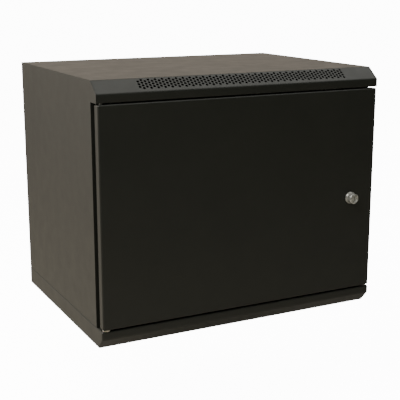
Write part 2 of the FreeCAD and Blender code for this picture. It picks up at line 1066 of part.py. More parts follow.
def make_lock():
    bezel = size["bezel_diameter"] / 2
    barrel = size["barrel_diameter"] / 2
    thread = size["thread_diameter"] / 2
    bore = size["plug_diameter"] / 2 + size["plug_clearance"]
    proud = size["barrel_height"]
    body_end = cam_seat + size["barrel_end_gap"]

    body = new_body("lock_body")
    outline = [
        (bore, body_end),
        (thread, body_end),
        (thread, 0),
        (bezel, 0),
        (barrel, size["bezel_height"]),
        (barrel, proud),
        (bore, proud),
    ]
    revolve(body, outline)
    flats = size["thread_flats"] / 2
    beside = [rectangle(-bezel, -flats, -bezel, bezel), rectangle(flats, bezel, -bezel, bezel)]
    cut_through(body, "Z", body_end, -sheet - body_end, beside)
    place(body, lock_x, door_front, lock_z, **OUTWARD)

    clip = new_body("lock_clip")
    reach = size["lock_clip_width"] / 2
    gap = flats + FIT
    u_shape = [
        (-reach, -reach),
        (reach, -reach),
        (reach, reach),
        (gap, reach),
        (gap, -thread - FIT),
        (-gap, -thread - FIT),
        (-gap, reach),
        (-reach, reach),
    ]
    clip_start = -(sheet + size["lock_clip_sheet"])
    extrude(clip, "Z", clip_start, size["lock_clip_sheet"], [polygon(u_shape)])
    place(clip, lock_x, door_front, lock_z, **OUTWARD)


def make_lock_core():
    """The plug with its keyway, and the cam on the plug's square end."""
    plug_radius = size["plug_diameter"] / 2
    face = size["barrel_height"] - size["plug_recess"]
    square = size["cam_square"] / 2

    plug = new_body("lock_plug")
    extrude(plug, "Z", cam_seat, face - cam_seat, [circle(0, 0, plug_radius)])
    extrude(
        plug, "Z", square_end, cam_seat - square_end, [rectangle(-square, square, -square, square)]
    )
    keyway = size["keyway_width"] / 2
    reach = size["keyway_height"] / 2
    cut_through(
        plug,
        "Z",
        face - size["keyway_depth"],
        size["keyway_depth"],
        [rectangle(-keyway, keyway, -reach, reach)],
    )
    place(plug, lock_x, door_front, lock_z, **OUTWARD)

    cam = new_body("lock_cam")
    half_width = size["cam_width"] / 2
    tip = size["cam_reach"]
    hole = square + size["cam_clearance"]
    blade = polygon(
        [
            (-half_width, half_width),
            (-half_width, half_width - tip),
            (half_width / 2, half_width - tip),
            (half_width, half_width * 2 - tip),
            (half_width, half_width),
        ]
    )
    extrude(
        cam,
        "Z",
        door_front - cam_back,
        size["cam_thickness"],
        [blade, rectangle(-hole, hole, -hole, hole)],
    )
    place(cam, lock_x, door_front, lock_z, **OUTWARD)


def make_bumpers():
    """Rubber stops on the right side panel's front flange, behind the door's edge."""
    x = half - size["door_return"] / 2 - size["door_side_gap"]
    length = panel_front - door_back - seam
    stops = []
    for z in (door_bottom + size["bumper_inset"], door_top - size["bumper_inset"]):
        stops.append(
            primitive(
                "Cylinder",
                "bumper",
                {"Radius": size["bumper_diameter"] / 2, "Height": length},
                x,
                panel_front,
                z,
                turn_axis=(1, 0, 0),
                angle=90,
            )
        )
    group("door_bumpers", stops)


def check():
    """Raises where an object has failed, or where a cut has cut nothing."""
    for item in document.Objects:
        if "Invalid" in item.State or "Error" in item.State:
            raise RuntimeError(f"{item.Name} failed: {item.State}")
        is_cut = item.TypeId == "PartDesign::Pocket"
        if is_cut and item.Shape.Volume >= item.BaseFeature.Shape.Volume:
            raise RuntimeError(f"{item.Name} cuts nothing")
    for piece in pieces:
        if piece.Shape.isNull() or not piece.Shape.isValid() or not piece.Shape.Solids:
            raise RuntimeError(f"{piece.Label} has no valid solid")


def main():
    make_roof()
    make_base()
    make_base_strip()
    for name, side in SIDES.items():
        make_side_panel(name, side)
        make_post(f"{name}_front", side, True)
        make_post(f"{name}_rear", side, False)
        make_member(f"lower_{name}", side, lower_member)
        make_member(f"upper_{name}", side, upper_member)
        make_rail(f"front_{name}", side, True)
        make_rail(f"rear_{name}", side, False)
    make_rear()
    make_entry_trim()
    make_rail_fasteners()
    make_door()
    spread = size["stiffener_spacing"] / 2
    make_stiffener("left", -spread)
    make_stiffener("right", spread)
    make_hinge_bracket("upper", upper_bracket_bottom, size["upper_bracket_height"], True)
    make_hinge_bracket("lower", lower_bracket_bottom, size["lower_bracket_height"], False)
    make_upper_pin()
    make_clip()
    make_spring()
    make_lower_pin()
    make_hinge_washer()
    make_lock()
    make_lock_core()
    make_bumpers()
    document.recompute()
    check()
    os.makedirs("parts", exist_ok=True)
    for piece in pieces:
        piece.Shape.exportStep(f"parts/{piece.Label}.step")


main()
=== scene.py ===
import json
import math

import bmesh
import bpy
from mathutils import Matrix, Vector


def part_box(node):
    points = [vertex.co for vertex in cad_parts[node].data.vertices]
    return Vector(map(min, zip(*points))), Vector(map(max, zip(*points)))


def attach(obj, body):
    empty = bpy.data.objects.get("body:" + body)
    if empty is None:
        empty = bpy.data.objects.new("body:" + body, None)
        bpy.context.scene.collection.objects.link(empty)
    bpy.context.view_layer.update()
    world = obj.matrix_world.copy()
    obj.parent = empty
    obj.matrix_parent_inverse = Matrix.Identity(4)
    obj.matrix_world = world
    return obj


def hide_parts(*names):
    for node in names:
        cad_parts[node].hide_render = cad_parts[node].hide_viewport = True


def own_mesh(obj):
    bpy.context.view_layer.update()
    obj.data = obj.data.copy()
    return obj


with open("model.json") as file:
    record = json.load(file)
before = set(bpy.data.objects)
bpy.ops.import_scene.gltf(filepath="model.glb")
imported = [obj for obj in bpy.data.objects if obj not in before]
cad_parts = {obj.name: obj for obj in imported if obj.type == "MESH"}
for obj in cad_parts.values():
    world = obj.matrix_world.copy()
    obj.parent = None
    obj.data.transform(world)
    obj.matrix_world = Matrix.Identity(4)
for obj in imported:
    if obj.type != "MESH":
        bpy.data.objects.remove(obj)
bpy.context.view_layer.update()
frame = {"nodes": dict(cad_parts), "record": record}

bl_info = {
    "name": "Wall Cabinet Finish",
    "version": (1, 0, 0),
    "blender": (4, 5, 0),
    "location": "View3D > Sidebar > Cabinet",
    "description": "Finishes, fittings and studio for a wall mount network cabinet",
    "category": "Object",
}

MM = 0.001
FULL_TURN = 2 * math.pi
QUARTER_TURN = math.pi / 2
OUT_OF_DOOR = Matrix.Rotation(QUARTER_TURN, 4, "X")
TO_WALL = Matrix.Rotation(-QUARTER_TURN, 4, "X")
TO_RIGHT = Matrix.Rotation(QUARTER_TURN, 4, "Y")
TO_LEFT = Matrix.Rotation(-QUARTER_TURN, 4, "Y")
UPSIDE_DOWN = Matrix.Rotation(math.pi, 4, "X")
UP = Vector((0, 0, 1))
DOWN = -UP
FORWARD = Vector((0, -1, 0))
BACKWARD = -FORWARD
RIGHT = Vector((1, 0, 0))

TOUCHING = 1e-7  # metres: points nearer to each other than this are one point
FOLD_ANGLE = 0.3  # radians: walls that meet at more than this have an edge between them

# How far a pattern is stretched along X, Y and Z.
EVEN = (1, 1, 1)
UPRIGHT = (1, 1, 40)
BRUSHED_OUT = (1, 1, 8)
ALONG_PIN = (6, 6, 1)

# The keyway's outline, in shares of half its width and half its height.
KEYWAY = (
    (-1, -1),
    (1, -1),
    (1, -0.3),
    (0.45, -0.2),
    (0.45, 0.15),
    (1, 0.25),
    (1, 1),
    (-1, 1),
    (-1, 0.6),
    (-0.45, 0.5),
    (-0.45, 0.1),
    (-1, 0),
)

# Tints of the lamps.
WARM = (1.0, 0.89, 0.80)
AMBER = (1.0, 0.83, 0.69)
NEUTRAL = (1.0, 0.98, 0.95)

# The finish made for each material slot of the record.
finishes = {}


def length(name, description, default, low=0.0):
    """A setting in metres."""
    return bpy.props.FloatProperty(
        name=name, description=description, default=default, min=low, unit="LENGTH", precision=4
    )


def share(name, description, default):
    """A setting from 0 to 1."""
    return bpy.props.FloatProperty(
        name=name, description=description, default=default, min=0.0, max=1.0, subtype="FACTOR"
    )


def colour(name, description, default):
    """A colour to choose."""
    return bpy.props.FloatVectorProperty(
        name=name, description=description, default=default, min=0.0, max=1.0, subtype="COLOR"
    )


class CoatSettings(bpy.types.PropertyGroup):
    """The powder coat on the sheet metal."""

    shade: colour("Colour", "Colour of the powder coat", (0.0126, 0.0142, 0.0111))
    shade_far: colour("Second colour", "Colour it drifts to in patches", (0.0148, 0.0162, 0.0126))
    gloss_loss: share("Roughness", "Roughness of the coat's skin", 0.46)
    grain: length("Grain", "Size of the coat's fine grain", 1.1 * MM)
    relief: length("Relief", "Height of the grain", 0.05 * MM)


class MetalSettings(bpy.types.PropertyGroup):
    """Bare, plated and soft materials."""

    zinc: colour("Zinc", "Bright zinc plate", (0.60, 0.61, 0.62))
    zinc_warm: colour("Passivated zinc", "Colour the zinc drifts to", (0.66, 0.63, 0.54))
    nickel: colour("Nickel", "Bright nickel plate on the lock", (0.62, 0.62, 0.58))
    nickel_dull: colour("Handled nickel", "Nickel where fingers touch it", (0.30, 0.30, 0.275))
    steel: colour("Steel", "Turned steel of the hinge pins", (0.55, 0.55, 0.55))
    steel_dark: colour("Oiled steel", "Steel under a film of oil", (0.42, 0.41, 0.40))
    rubber: colour("Rubber", "Moulded black rubber", (0.017, 0.017, 0.018))
    rubber_dusty: colour("Dusty rubber", "Rubber with a little dust", (0.030, 0.029, 0.028))
    nylon: colour("Nylon", "Natural nylon", (0.74, 0.71, 0.63))
    nylon_stained: colour("Stained nylon", "Nylon that has picked up oil", (0.62, 0.58, 0.49))


class SheetSettings(bpy.types.PropertyGroup):
    """The folded door and base, and what every cover shares."""

    sheet: length("Sheet", "Thickness of the covers' sheet", 1.2 * MM)
    frame_sheet: length("Frame sheet", "Thickness of the frame's sheet", 1.5 * MM)
    rail_sheet: length("Rail sheet", "Thickness of the rails' sheet", 2 * MM)
    fold: length("Fold radius", "Outer radius of the roof's folds", 2.4 * MM)
    wide_fold: length("Wide fold radius", "Outer radius of the other folds", 3 * MM)
    door_return: length("Door return", "Width of the return behind the door's edge", 14 * MM)
    base_lip: length("Base lip", "Height of the base's upright front lip", 15.4 * MM)
    chamfer_depth: length("Chamfer", "Depth of the base's chamfer, seen from below", 19.8 * MM)
    front_return: length("Front return", "Depth of the base's return behind its lip", 30 * MM)
    side_return: length("Side return", "Width of the base's returns along its sides", 20 * MM)
    trim_lap: length("Trim lap", "How far the rubber trim laps over the plate", 4 * MM)


class RoofSettings(bpy.types.PropertyGroup):
    """The folded roof and its perforated slope."""

    lip: length("Lip", "Height of the upright front lip", 16 * MM)
    slope_depth: length("Slope depth", "Depth of the slope, seen from above", 27.5 * MM)
    return_depth: length("Return depth", "Depth of the return under the lip", 30 * MM)
    upstand: length("Upstand", "Height of the return's upturned edge", 10 * MM)
    flange: length("Flange", "Height of the folds along both ends", 18 * MM)
    hole: length("Hole", "Diameter of a hole", 5.5 * MM)
    column_pitch: length("Column pitch", "From one column of holes to the next", 6.93 * MM, MM)
    row_pitch: length("Row pitch", "From hole to hole in a column", 6.8 * MM, MM)
    left_margin: length("Left margin", "From the left end to the first hole", 86 * MM)
    right_margin: length("Right margin", "From the last hole to the right end", 66 * MM)
    rise: length("Rise", "How far the rows sit above the slope's middle", 2.1 * MM)
    edge: length("Edge", "Least distance from a row to a fold", 5 * MM)


class LockSettings(bpy.types.PropertyGroup):
    """The cam lock."""

    bezel_height: length("Bezel height", "Height of the domed flange on the door", 4 * MM)
    bezel_rim: length("Bezel rim", "Height of the flange's upright rim", 0.7 * MM)
    barrel: length("Barrel", "Diameter of the barrel in front of the door", 21 * MM)
    barrel_edge: length("Barrel edge", "Radius of the barrel's front edge", 1.8 * MM)
    face_groove: length("Face groove", "Depth of the ring cut in the barrel's face", 0.5 * MM)
    thread: length("Thread", "Outer diameter of the thread", 18.5 * MM)
    thread_pitch: length("Thread pitch", "Distance between two threads", 1 * MM, 0.2 * MM)
    thread_depth: length("Thread depth", "Depth of the thread", 0.55 * MM)
    flats: length("Flats", "Width across the thread's flats", 16 * MM)
    bore: length("Bore", "Diameter of the bore for the plug", 12.12 * MM)
    plug_edge: length("Plug edge", "Width of the bevel around the plug's face", 0.45 * MM)
    keyway_width: length("Keyway width", "Width of the keyway", 2 * MM)
    keyway_height: length("Keyway height", "Height of the keyway", 7.5 * MM)
    keyway_depth: length("Keyway depth", "Depth of the keyway", 9 * MM)


class HingeSettings(bpy.types.PropertyGroup):
    """The door's pins, spring, washer and stops."""

    pin: length("Pin", "Diameter of the hinge pins", 6 * MM)
    clearance: length("Clearance", "Gap between a pin and its hole, all round", 0.06 * MM)
    groove: length("Groove", "Depth of the pin's groove for its clip", 0.35 * MM)
    chamfer: length("Chamfer", "Chamfer on the ends of the pins", 0.7 * MM)
    bend: length("Bend", "Radius of the lever's bend, at the middle of the rod", 6 * MM)
    wire: length("Wire", "Diameter of the spring's wire", 1 * MM)
    turns: bpy.props.IntProperty(
        name="Turns", description="Working turns of the spring", default=6, min=3, max=20
    )


class FastenerSettings(bpy.types.PropertyGroup):
    """Screws, bolts, nuts and studs."""

    screw_head: length("Screw head", "Diameter of a frame screw's head", 9.5 * MM)
    screw_height: length("Screw height", "Height of a frame screw's head", 3.2 * MM)
    flush_head: length("Flush head", "Diameter of a rear screw's head", 8.4 * MM)
    flush_height: length("Flush height", "Depth of a rear screw's head", 1.1 * MM)
    across_flats: length("Across flats", "Width of the bolts and nuts", 10 * MM)
    bolt_head: length("Bolt head", "Height of a rail bolt's head", 3.2 * MM)
    rail_nut: length("Rail nut", "Height of a rail bolt's nut", 5 * MM)
    stud_nut: length("Stud nut", "Height of an earth stud's nut", 4.5 * MM)
    washer: length("Washer", "Diameter of the washers", 14 * MM)
    stud: length("Stud", "Diameter of the threaded ends", 6 * MM)


class StudioSettings(bpy.types.PropertyGroup):
    """Camera, lights and floor."""

    camera_place: bpy.props.FloatVectorProperty(
        name="Camera place",
        description="Where the camera stands",
        default=(-0.8441, -1.6920, 0.6606),
        subtype="TRANSLATION",
        unit="LENGTH",
    )
    azimuth: bpy.props.FloatProperty(
        name="Azimuth",
        description="Turn of the camera's line of sight towards +X",
        default=math.radians(26.92),
        subtype="ANGLE",
    )
    tilt: bpy.props.FloatProperty(
        name="Tilt",
        description="How far the camera looks down",
        default=math.radians(13.47),
        subtype="ANGLE",
    )
    lens: bpy.props.FloatProperty(
        name="Lens", description="Focal length in millimetres", default=81.54, min=10.0
    )
    drop: length("Drop", "Height at which the cabinet hangs above the floor", 250 * MM)
    floor: colour("Floor", "Pale floor", (0.90, 0.90, 0.90))
    floor_shade: colour("Floor's reflection", "What the floor sends back", (0.42, 0.40, 0.35))
    floor_light: colour("Floor's own light", "Light that comes up from it", (0.050, 0.047, 0.038))
    glow: bpy.props.FloatProperty(
        name="Glow", description="How brightly the floor and room show", default=14.0, min=0.0
    )
    sky: colour("Room", "Light of the pale room behind the camera", (0.070, 0.078, 0.064))


def settings(name):
    """The scene's settings of a group."""
    return getattr(bpy.context.scene, f"cabinet_{name}")


# Materials


class Finish:
    """A node material built around one Principled shader."""

    def __init__(self, name):
        self.material = bpy.data.materials.new(name)
        self.material.use_nodes = True
        self.nodes = self.material.node_tree.nodes
        self.links = self.material.node_tree.links
        self.shader = self.nodes["Principled BSDF"]
        self.place = self.nodes.new("ShaderNodeTexCoord").outputs["Object"]

    def set(self, **sockets):
        """Sets the shader's own sockets, named with underscores."""
        for name, value in sockets.items():
            self.shader.inputs[name.replace("_", " ")].default_value = value
        return self

    def noise(self, size, stretch=EVEN, detail=3.0):
        """Noise with features of about this size in metres, stretched along the axes."""
        mapping = self.nodes.new("ShaderNodeMapping")
        mapping.inputs["Scale"].default_value = [1 / part for part in stretch]
        noise = self.nodes.new("ShaderNodeTexNoise")
        noise.inputs["Scale"].default_value = 1 / size
        noise.inputs["Detail"].default_value = detail
        self.links.new(self.place, mapping.inputs["Vector"])
        self.links.new(mapping.outputs["Vector"], noise.inputs["Vector"])
        return noise.outputs["Fac"]

    def spread(self, value, low, high):
        """Maps the middle of a noise to a range."""
        node = self.nodes.new("ShaderNodeMapRange")
        for name, number in (("From Min", 0.3), ("From Max", 0.7), ("To Min", low), ("To Max", high)):
            node.inputs[name].default_value = number
        self.links.new(value, node.inputs["Value"])
        return node.outputs["Result"]

    def colours(self, first, second, size):
        """Drifts between two colours in patches of a size."""
        mix = self.nodes.new("ShaderNodeMix")
        mix.data_type = "RGBA"
        mix.inputs["A"].default_value = (*first, 1)
        mix.inputs["B"].default_value = (*second, 1)
        self.links.new(self.spread(self.noise(size), 0, 1), mix.inputs["Factor"])
        self.links.new(mix.outputs["Result"], self.shader.inputs["Base Color"])
        return self

    def roughness(self, low, high, size):
        """Drifts between two roughnesses in patches of a size."""
        value = self.spread(self.noise(size, detail=5.0), low, high)
        self.links.new(value, self.shader.inputs["Roughness"])
        return self

    def relief(self, size, height, strength, stretch=EVEN):
        """Adds bumps of a size and height on top of those already there."""
        bump = self.nodes.new("ShaderNodeBump")
        bump.inputs["Strength"].default_value = strength
        bump.inputs["Distance"].default_value = height
        self.links.new(self.noise(size, stretch), bump.inputs["Height"])
        normal = self.shader.inputs["Normal"]
        if normal.is_linked:
            self.links.new(normal.links[0].from_socket, bump.inputs["Normal"])
        self.links.new(bump.outputs["Normal"], normal)
        return self


def make_coat():
    coat = settings("coat")
    finish = Finish("powder_coat").set(Specular_IOR_Level=0.5)
    finish.colours(coat.shade, coat.shade_far, size=90 * MM)
    finish.roughness(coat.gloss_loss - 0.03, coat.gloss_loss + 0.03, size=30 * MM)
    finish.relief(size=coat.grain * 9, height=coat.relief * 1.6, strength=0.15)
    finish.relief(size=coat.grain, height=coat.relief, strength=0.45)
    return finish.material


def make_zinc():
    metal = settings("metal")
    finish = Finish("zinc_plate").set(Metallic=1.0)
    finish.colours(metal.zinc, metal.zinc_warm, size=35 * MM)
    finish.roughness(0.26, 0.40, size=6 * MM)
    finish.relief(size=0.6 * MM, height=0.01 * MM, strength=0.5, stretch=UPRIGHT)
    finish.relief(size=12 * MM, height=0.03 * MM, strength=0.3)
    return finish.material


def make_nickel():
    metal = settings("metal")
    finish = Finish("lock_nickel").set(Metallic=0.55)
    finish.colours(metal.nickel, metal.nickel_dull, size=4 * MM)
    finish.roughness(0.24, 0.38, size=2 * MM)
    finish.relief(size=0.4 * MM, height=0.004 * MM, strength=0.4, stretch=BRUSHED_OUT)
    finish.relief(size=3 * MM, height=0.01 * MM, strength=0.25)
    return finish.material


def make_steel(name, worn):
    """Turned steel: the more worn, the rougher."""
    metal = settings("metal")
    finish = Finish(name).set(Metallic=1.0)
    finish.colours(metal.steel, metal.steel_dark, size=5 * MM)
    finish.roughness(0.22 + worn, 0.38 + worn, size=3 * MM)
    finish.relief(size=0.4 * MM, height=0.006 * MM, strength=0.5, stretch=ALONG_PIN)
    finish.relief(size=3 * MM, height=0.01 * MM, strength=0.3)
    return finish.material


def make_rubber():
    metal = settings("metal")
    finish = Finish("moulded_rubber").set(Specular_IOR_Level=0.3)
    finish.colours(metal.rubber, metal.rubber_dusty, size=12 * MM)
    finish.roughness(0.62, 0.84, size=4 * MM)
    finish.relief(size=0.9 * MM, height=0.06 * MM, strength=0.6)
    return finish.material


def make_nylon():
    metal = settings("metal")
    finish = Finish("natural_nylon").set(Subsurface_Weight=0.15, Subsurface_Scale=0.002)
    finish.colours(metal.nylon, metal.nylon_stained, size=4 * MM)
    finish.roughness(0.34, 0.52, size=2 * MM)
    finish.relief(size=0.7 * MM, height=0.02 * MM, strength=0.4)
    return finish.material


# Mesh helpers


def new_piece(name, bm, slot, body, nodes=(), sharp=35, even=False):
    """Makes the mesh a piece that rides on a body, in the finish of a record's slot.

    Edges sharper than an angle in degrees stay sharp. With even, the broad flat walls beside a fold
    are shaded flat.
    """
    bmesh.ops.recalc_face_normals(bm, faces=bm.faces[:])
    mesh = bpy.data.meshes.new(name)
    bm.to_mesh(mesh)
    bm.free()
    mesh.shade_smooth()
    mesh.set_sharp_from_angle(angle=math.radians(sharp))
    piece = bpy.data.objects.new(name, mesh)
    bpy.context.scene.collection.objects.link(piece)
    if even:
        shading = piece.modifiers.new("even_shading", "WEIGHTED_NORMAL")
        shading.keep_sharp = True
    mesh.materials.append(finishes[slot])
    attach(piece, body)
    if nodes:
        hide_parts(*nodes)
    return piece


def unique(items):
    """The items without repeats, in the order in which they come, which is the same each run."""
    return list(dict.fromkeys(items))


def only(items, kind):
    """The vertices, edges or faces among mixed items."""
    return [item for item in items if isinstance(item, kind)]


def corners(edges):
    """The vertices of edges."""
    return unique(vert for edge in edges for vert in edge.verts)


def edges_at(verts):
    """The edges that meet at vertices."""
    return unique(edge for vert in verts for edge in vert.link_edges)


def outline(bm, points, closed=True):
    """A few vertices joined by edges."""
    verts = [bm.verts.new(point) for point in points]
    pairs = list(zip(verts, verts[1:]))
    if closed:
        pairs.append((verts[-1], verts[0]))
    return [bm.edges.new(pair) for pair in pairs]


def ring(bm, radius, matrix, segments=24):
    """The edges of a circle."""
    made = bmesh.ops.create_circle(
        bm, cap_ends=False, radius=radius, segments=segments, matrix=matrix
    )
    return edges_at(made["verts"])


def pull(bm, edges, vector):
    """Extrudes edges along a vector and gives back the edges at the far end."""
    made = bmesh.ops.extrude_edge_only(bm, edges=edges)["geom"]
    bmesh.ops.translate(bm, verts=only(made, bmesh.types.BMVert), vec=vector)
    far = set(only(made, bmesh.types.BMVert))
    return [edge for edge in only(made, bmesh.types.BMEdge) if set(edge.verts) <= far]


def draw_ring(bm, rim, height, radius):
    """Pulls a level ring of edges about Z to a height, and scales it to a radius."""
    start = corners(rim)[0].co.copy()
    scale = radius / start.xy.length
    rim = pull(bm, rim, (0, 0, height - start.z))
    bmesh.ops.scale(bm, vec=(scale, scale, 1), verts=corners(rim))
    return rim


def merge(bm):
    """Makes points that touch one point."""
    bmesh.ops.remove_doubles(bm, verts=bm.verts[:], dist=TOUCHING)


def put(bm, matrix):
    """Brings the whole mesh to its place."""
    bmesh.ops.transform(bm, matrix=matrix, verts=bm.verts[:])


def lathe(bm, points, segments, closed=True):
    """Turns an outline of (radius, height) points about Z."""
    edges = outline(bm, [(radius, 0, height) for radius, height in points], closed)
    bmesh.ops.spin(
        bm,
        geom=corners(edges) + edges,
        cent=(0, 0, 0),
        axis=(0, 0, 1),
        dvec=(0, 0, 0),
        angle=FULL_TURN,
        steps=segments,
        use_merge=True,
        use_duplicate=False,
    )
    merge(bm)


def bevel(bm, edges, width, segments):
    """Rounds edges to a width."""
    bmesh.ops.bevel(
        bm,
        geom=edges,
        offset=width,
        offset_type="OFFSET",
        affect="EDGES",
        segments=segments,
        profile=0.5,
        material=-1,
    )


def soften(bm, width, segments):
    """Rounds every edge between two faces that meet at an angle."""
    angled = [
        edge for edge in bm.edges if edge.is_manifold and edge.calc_face_angle(0) > FOLD_ANGLE
    ]
    bevel(bm, angled, width, segments)


def prism(bm, segments, radius, bottom, top, width=0.0):
    """An upright prism, its upper rim softened to a width."""
    base = bmesh.ops.create_circle(
        bm,
        cap_ends=True,
        radius=radius,
        segments=segments,
        matrix=Matrix.Translation((0, 0, bottom)),
    )
    faces = unique(face for vert in base["verts"] for face in vert.link_faces)
    made = bmesh.ops.extrude_face_region(bm, geom=faces, use_keep_orig=True)["geom"]
    upper = only(made, bmesh.types.BMVert)
    bmesh.ops.translate(bm, verts=upper, vec=(0, 0, top - bottom))
    if width:
        rims = [edge for edge in bm.edges if edge.verts[0] in upper and edge.verts[1] in upper]
        bevel(bm, rims, width, 2)


def rod(bm, radius, chamfer, bottom, top):
    """An upright rod with chamfered ends."""
    profile = [
        (0, bottom),
        (radius - chamfer, bottom),
        (radius, bottom + chamfer),
        (radius, top - chamfer),
        (radius - chamfer, top),
        (0, top),
    ]
    lathe(bm, profile, 32, closed=False)


def threaded_end(bm, radius, bottom, top, pitch):
    """A short threaded rod with a chamfered tip."""
    depth = pitch * 0.45
    points = [(0, bottom), (radius, bottom)]
    height = bottom
    while height + pitch < top - pitch * 0.4:
        points += [(radius - depth, height + pitch / 2), (radius, height + pitch)]
        height += pitch
    points += [(radius - depth * 1.4, top), (0, top)]
    lathe(bm, points, 24, closed=False)


def facing(bm, direction):
    """The largest face that looks along a direction."""
    faces = [face for face in bm.faces if face.normal.dot(direction) > 0.999]
    return max(faces, key=lambda face: face.calc_area())


def turn_outward(bm, outward):
    """Turns all faces to one side, so that the broadest looks along a direction."""
    bmesh.ops.recalc_face_normals(bm, faces=bm.faces[:])
    broadest = max(bm.faces, key=lambda face: face.calc_area())
    if broadest.normal.dot(outward) < 0:
        bmesh.ops.reverse_faces(bm, faces=bm.faces[:])


def divide_top(bm, place, direction):
    """Divides the walls that look up along the plane at a place, and leaves them joined."""
    walls = [face for face in bm.faces if face.normal.z > 0.99]
    geometry = walls + unique(edge for face in walls for edge in face.edges)
    geometry += corners(only(geometry, bmesh.types.BMEdge))
    bmesh.ops.bisect_plane(bm, geom=geometry, plane_co=place, plane_no=direction)


def round_folds(bm, outward, radius):
    """Turns every corner between two walls into a fold."""
    turn_outward(bm, outward)
    soften(bm, radius, 5)


def pierce(bm, face, hole_edges):
    """Puts holes in a flat face: its outline and the holes' edges are filled between."""
    normal = face.normal.copy()
    rim = face.edges[:]
    bmesh.ops.delete(bm, geom=[face], context="FACES_ONLY")
    bmesh.ops.triangle_fill(bm, use_beauty=True, edges=rim + hole_edges, normal=normal)


def thicken(bm, outward):
    """Gives folded walls their thickness, on the inside."""
    merge(bm)
    turn_outward(bm, outward)
    bmesh.ops.solidify(bm, geom=bm.faces[:], thickness=settings("sheet").sheet)


def add_copies(bm, template, places):
    """Adds a copy of a small bmesh at each place."""
    mesh = bpy.data.meshes.new("template")
    template.to_mesh(mesh)
    template.free()
    for matrix in places:
        before = set(bm.verts)
        bm.from_mesh(mesh)
        added = [vert for vert in bm.verts if vert not in before]
        bmesh.ops.transform(bm, matrix=matrix, verts=added)
    bpy.data.meshes.remove(mesh)


def new_set(name, template, places, slot, body, nodes=(), sharp=35):
    """Makes one piece of like parts, with a copy of the template at each place."""
    bm = bmesh.new()
    add_copies(bm, template, places)
    new_piece(name, bm, slot, body, nodes, sharp)


def at(x, y, z, turn=None):
    """A place, and how a template is turned there."""
    place = Matrix.Translation((x, y, z))
    return place @ turn if turn else place


def middle(node):
    """The middle of a node's box."""
    low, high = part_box(node)
    return (low + high) / 2


# Pieces


def set_finishes():
    """Gives every node of the frame the finish of its slot."""
    for part in frame["record"]["subparts"]:
        node = frame["nodes"][part["node"]]
        finish = finishes[part["material_slot"]]
        if not node.material_slots:
            node.data.materials.append(finish)
        for slot in node.material_slots:
            slot.material = finish


def slope_holes(bm, roof, start, direction, normal):
    """Circles in staggered columns along the slope, from its lower left corner."""
    low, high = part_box("roof_cover")
    run = high.x - low.x - roof.left_margin - roof.right_margin
    slope = direction.length
    along = direction.normalized()
    column = roof.column_pitch
    rows = int((slope - roof.edge * 2) / roof.row_pitch) + 1
    pairs = int(run / (column * 2))
    out_of_line = Matrix.Rotation(math.radians(7), 4, "Z")  # keeps the fill between holes regular
    turn = Matrix((RIGHT, along, normal)).transposed().to_4x4() @ out_of_line
    edges = []
    for pair in range(pairs):
        for offset, count in ((0, rows - 1), (column, rows)):
            x = roof.left_margin + pair * column * 2 + offset
            for row in range(count):
                height = slope / 2 + roof.rise + roof.row_pitch * (row - (count - 1) / 2)
                centre = start + RIGHT * x + along * height
                edges += ring(bm, roof.hole / 2, Matrix.Translation(centre) @ turn, 12)
    return edges


def pin_hole(bm, height):
    """The edges of a hole for a hinge pin."""
    hinge = settings("hinge")
    pin = middle("upper_pin_clip")
    return ring(bm, hinge.pin / 2 + hinge.clearance, at(pin.x, pin.y, height))


def make_roof():
    """One folded sheet with round holes in its slope."""
    roof = settings("roof")
    fold = settings("sheet").fold
    low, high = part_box("roof_cover")
    shoulder = low.z + roof.lip
    crest = low.y + roof.slope_depth
    inside = low.y + roof.return_depth
    bm = bmesh.new()
    fold_line = [
        (low.x, inside, low.z + roof.upstand),
        (low.x, inside, low.z),
        (low.x, low.y, low.z),
        (low.x, low.y, shoulder),
        (low.x, crest, high.z),
        (low.x, high.y, high.z),
        (low.x, high.y, low.z),
    ]
    pull(bm, outline(bm, fold_line, closed=False), (high.x - low.x, 0, 0))
    turn_outward(bm, UP)
    margin = fold * 2.5
    for y in (crest + margin, high.y - margin):
        divide_top(bm, (0, y, 0), BACKWARD)
    ends = [
        edge
        for edge in facing(bm, UP).edges
        if abs(edge.verts[0].co.x - edge.verts[1].co.x) < MM
    ]
    pull(bm, ends, (0, 0, -roof.flange))
    round_folds(bm, UP, fold)
    start = Vector((low.x, low.y, shoulder))
    direction = Vector((0, roof.slope_depth, high.z - shoulder))
    normal = Vector((0, -direction.z, direction.y)).normalized()
    pierce(bm, facing(bm, normal), slope_holes(bm, roof, start, direction, normal))
    pierce(bm, facing(bm, DOWN), pin_hole(bm, low.z))
    thicken(bm, UP)
    new_piece("roof_sheet", bm, "powder_coat", "cabinet", ["roof_cover"], even=True)


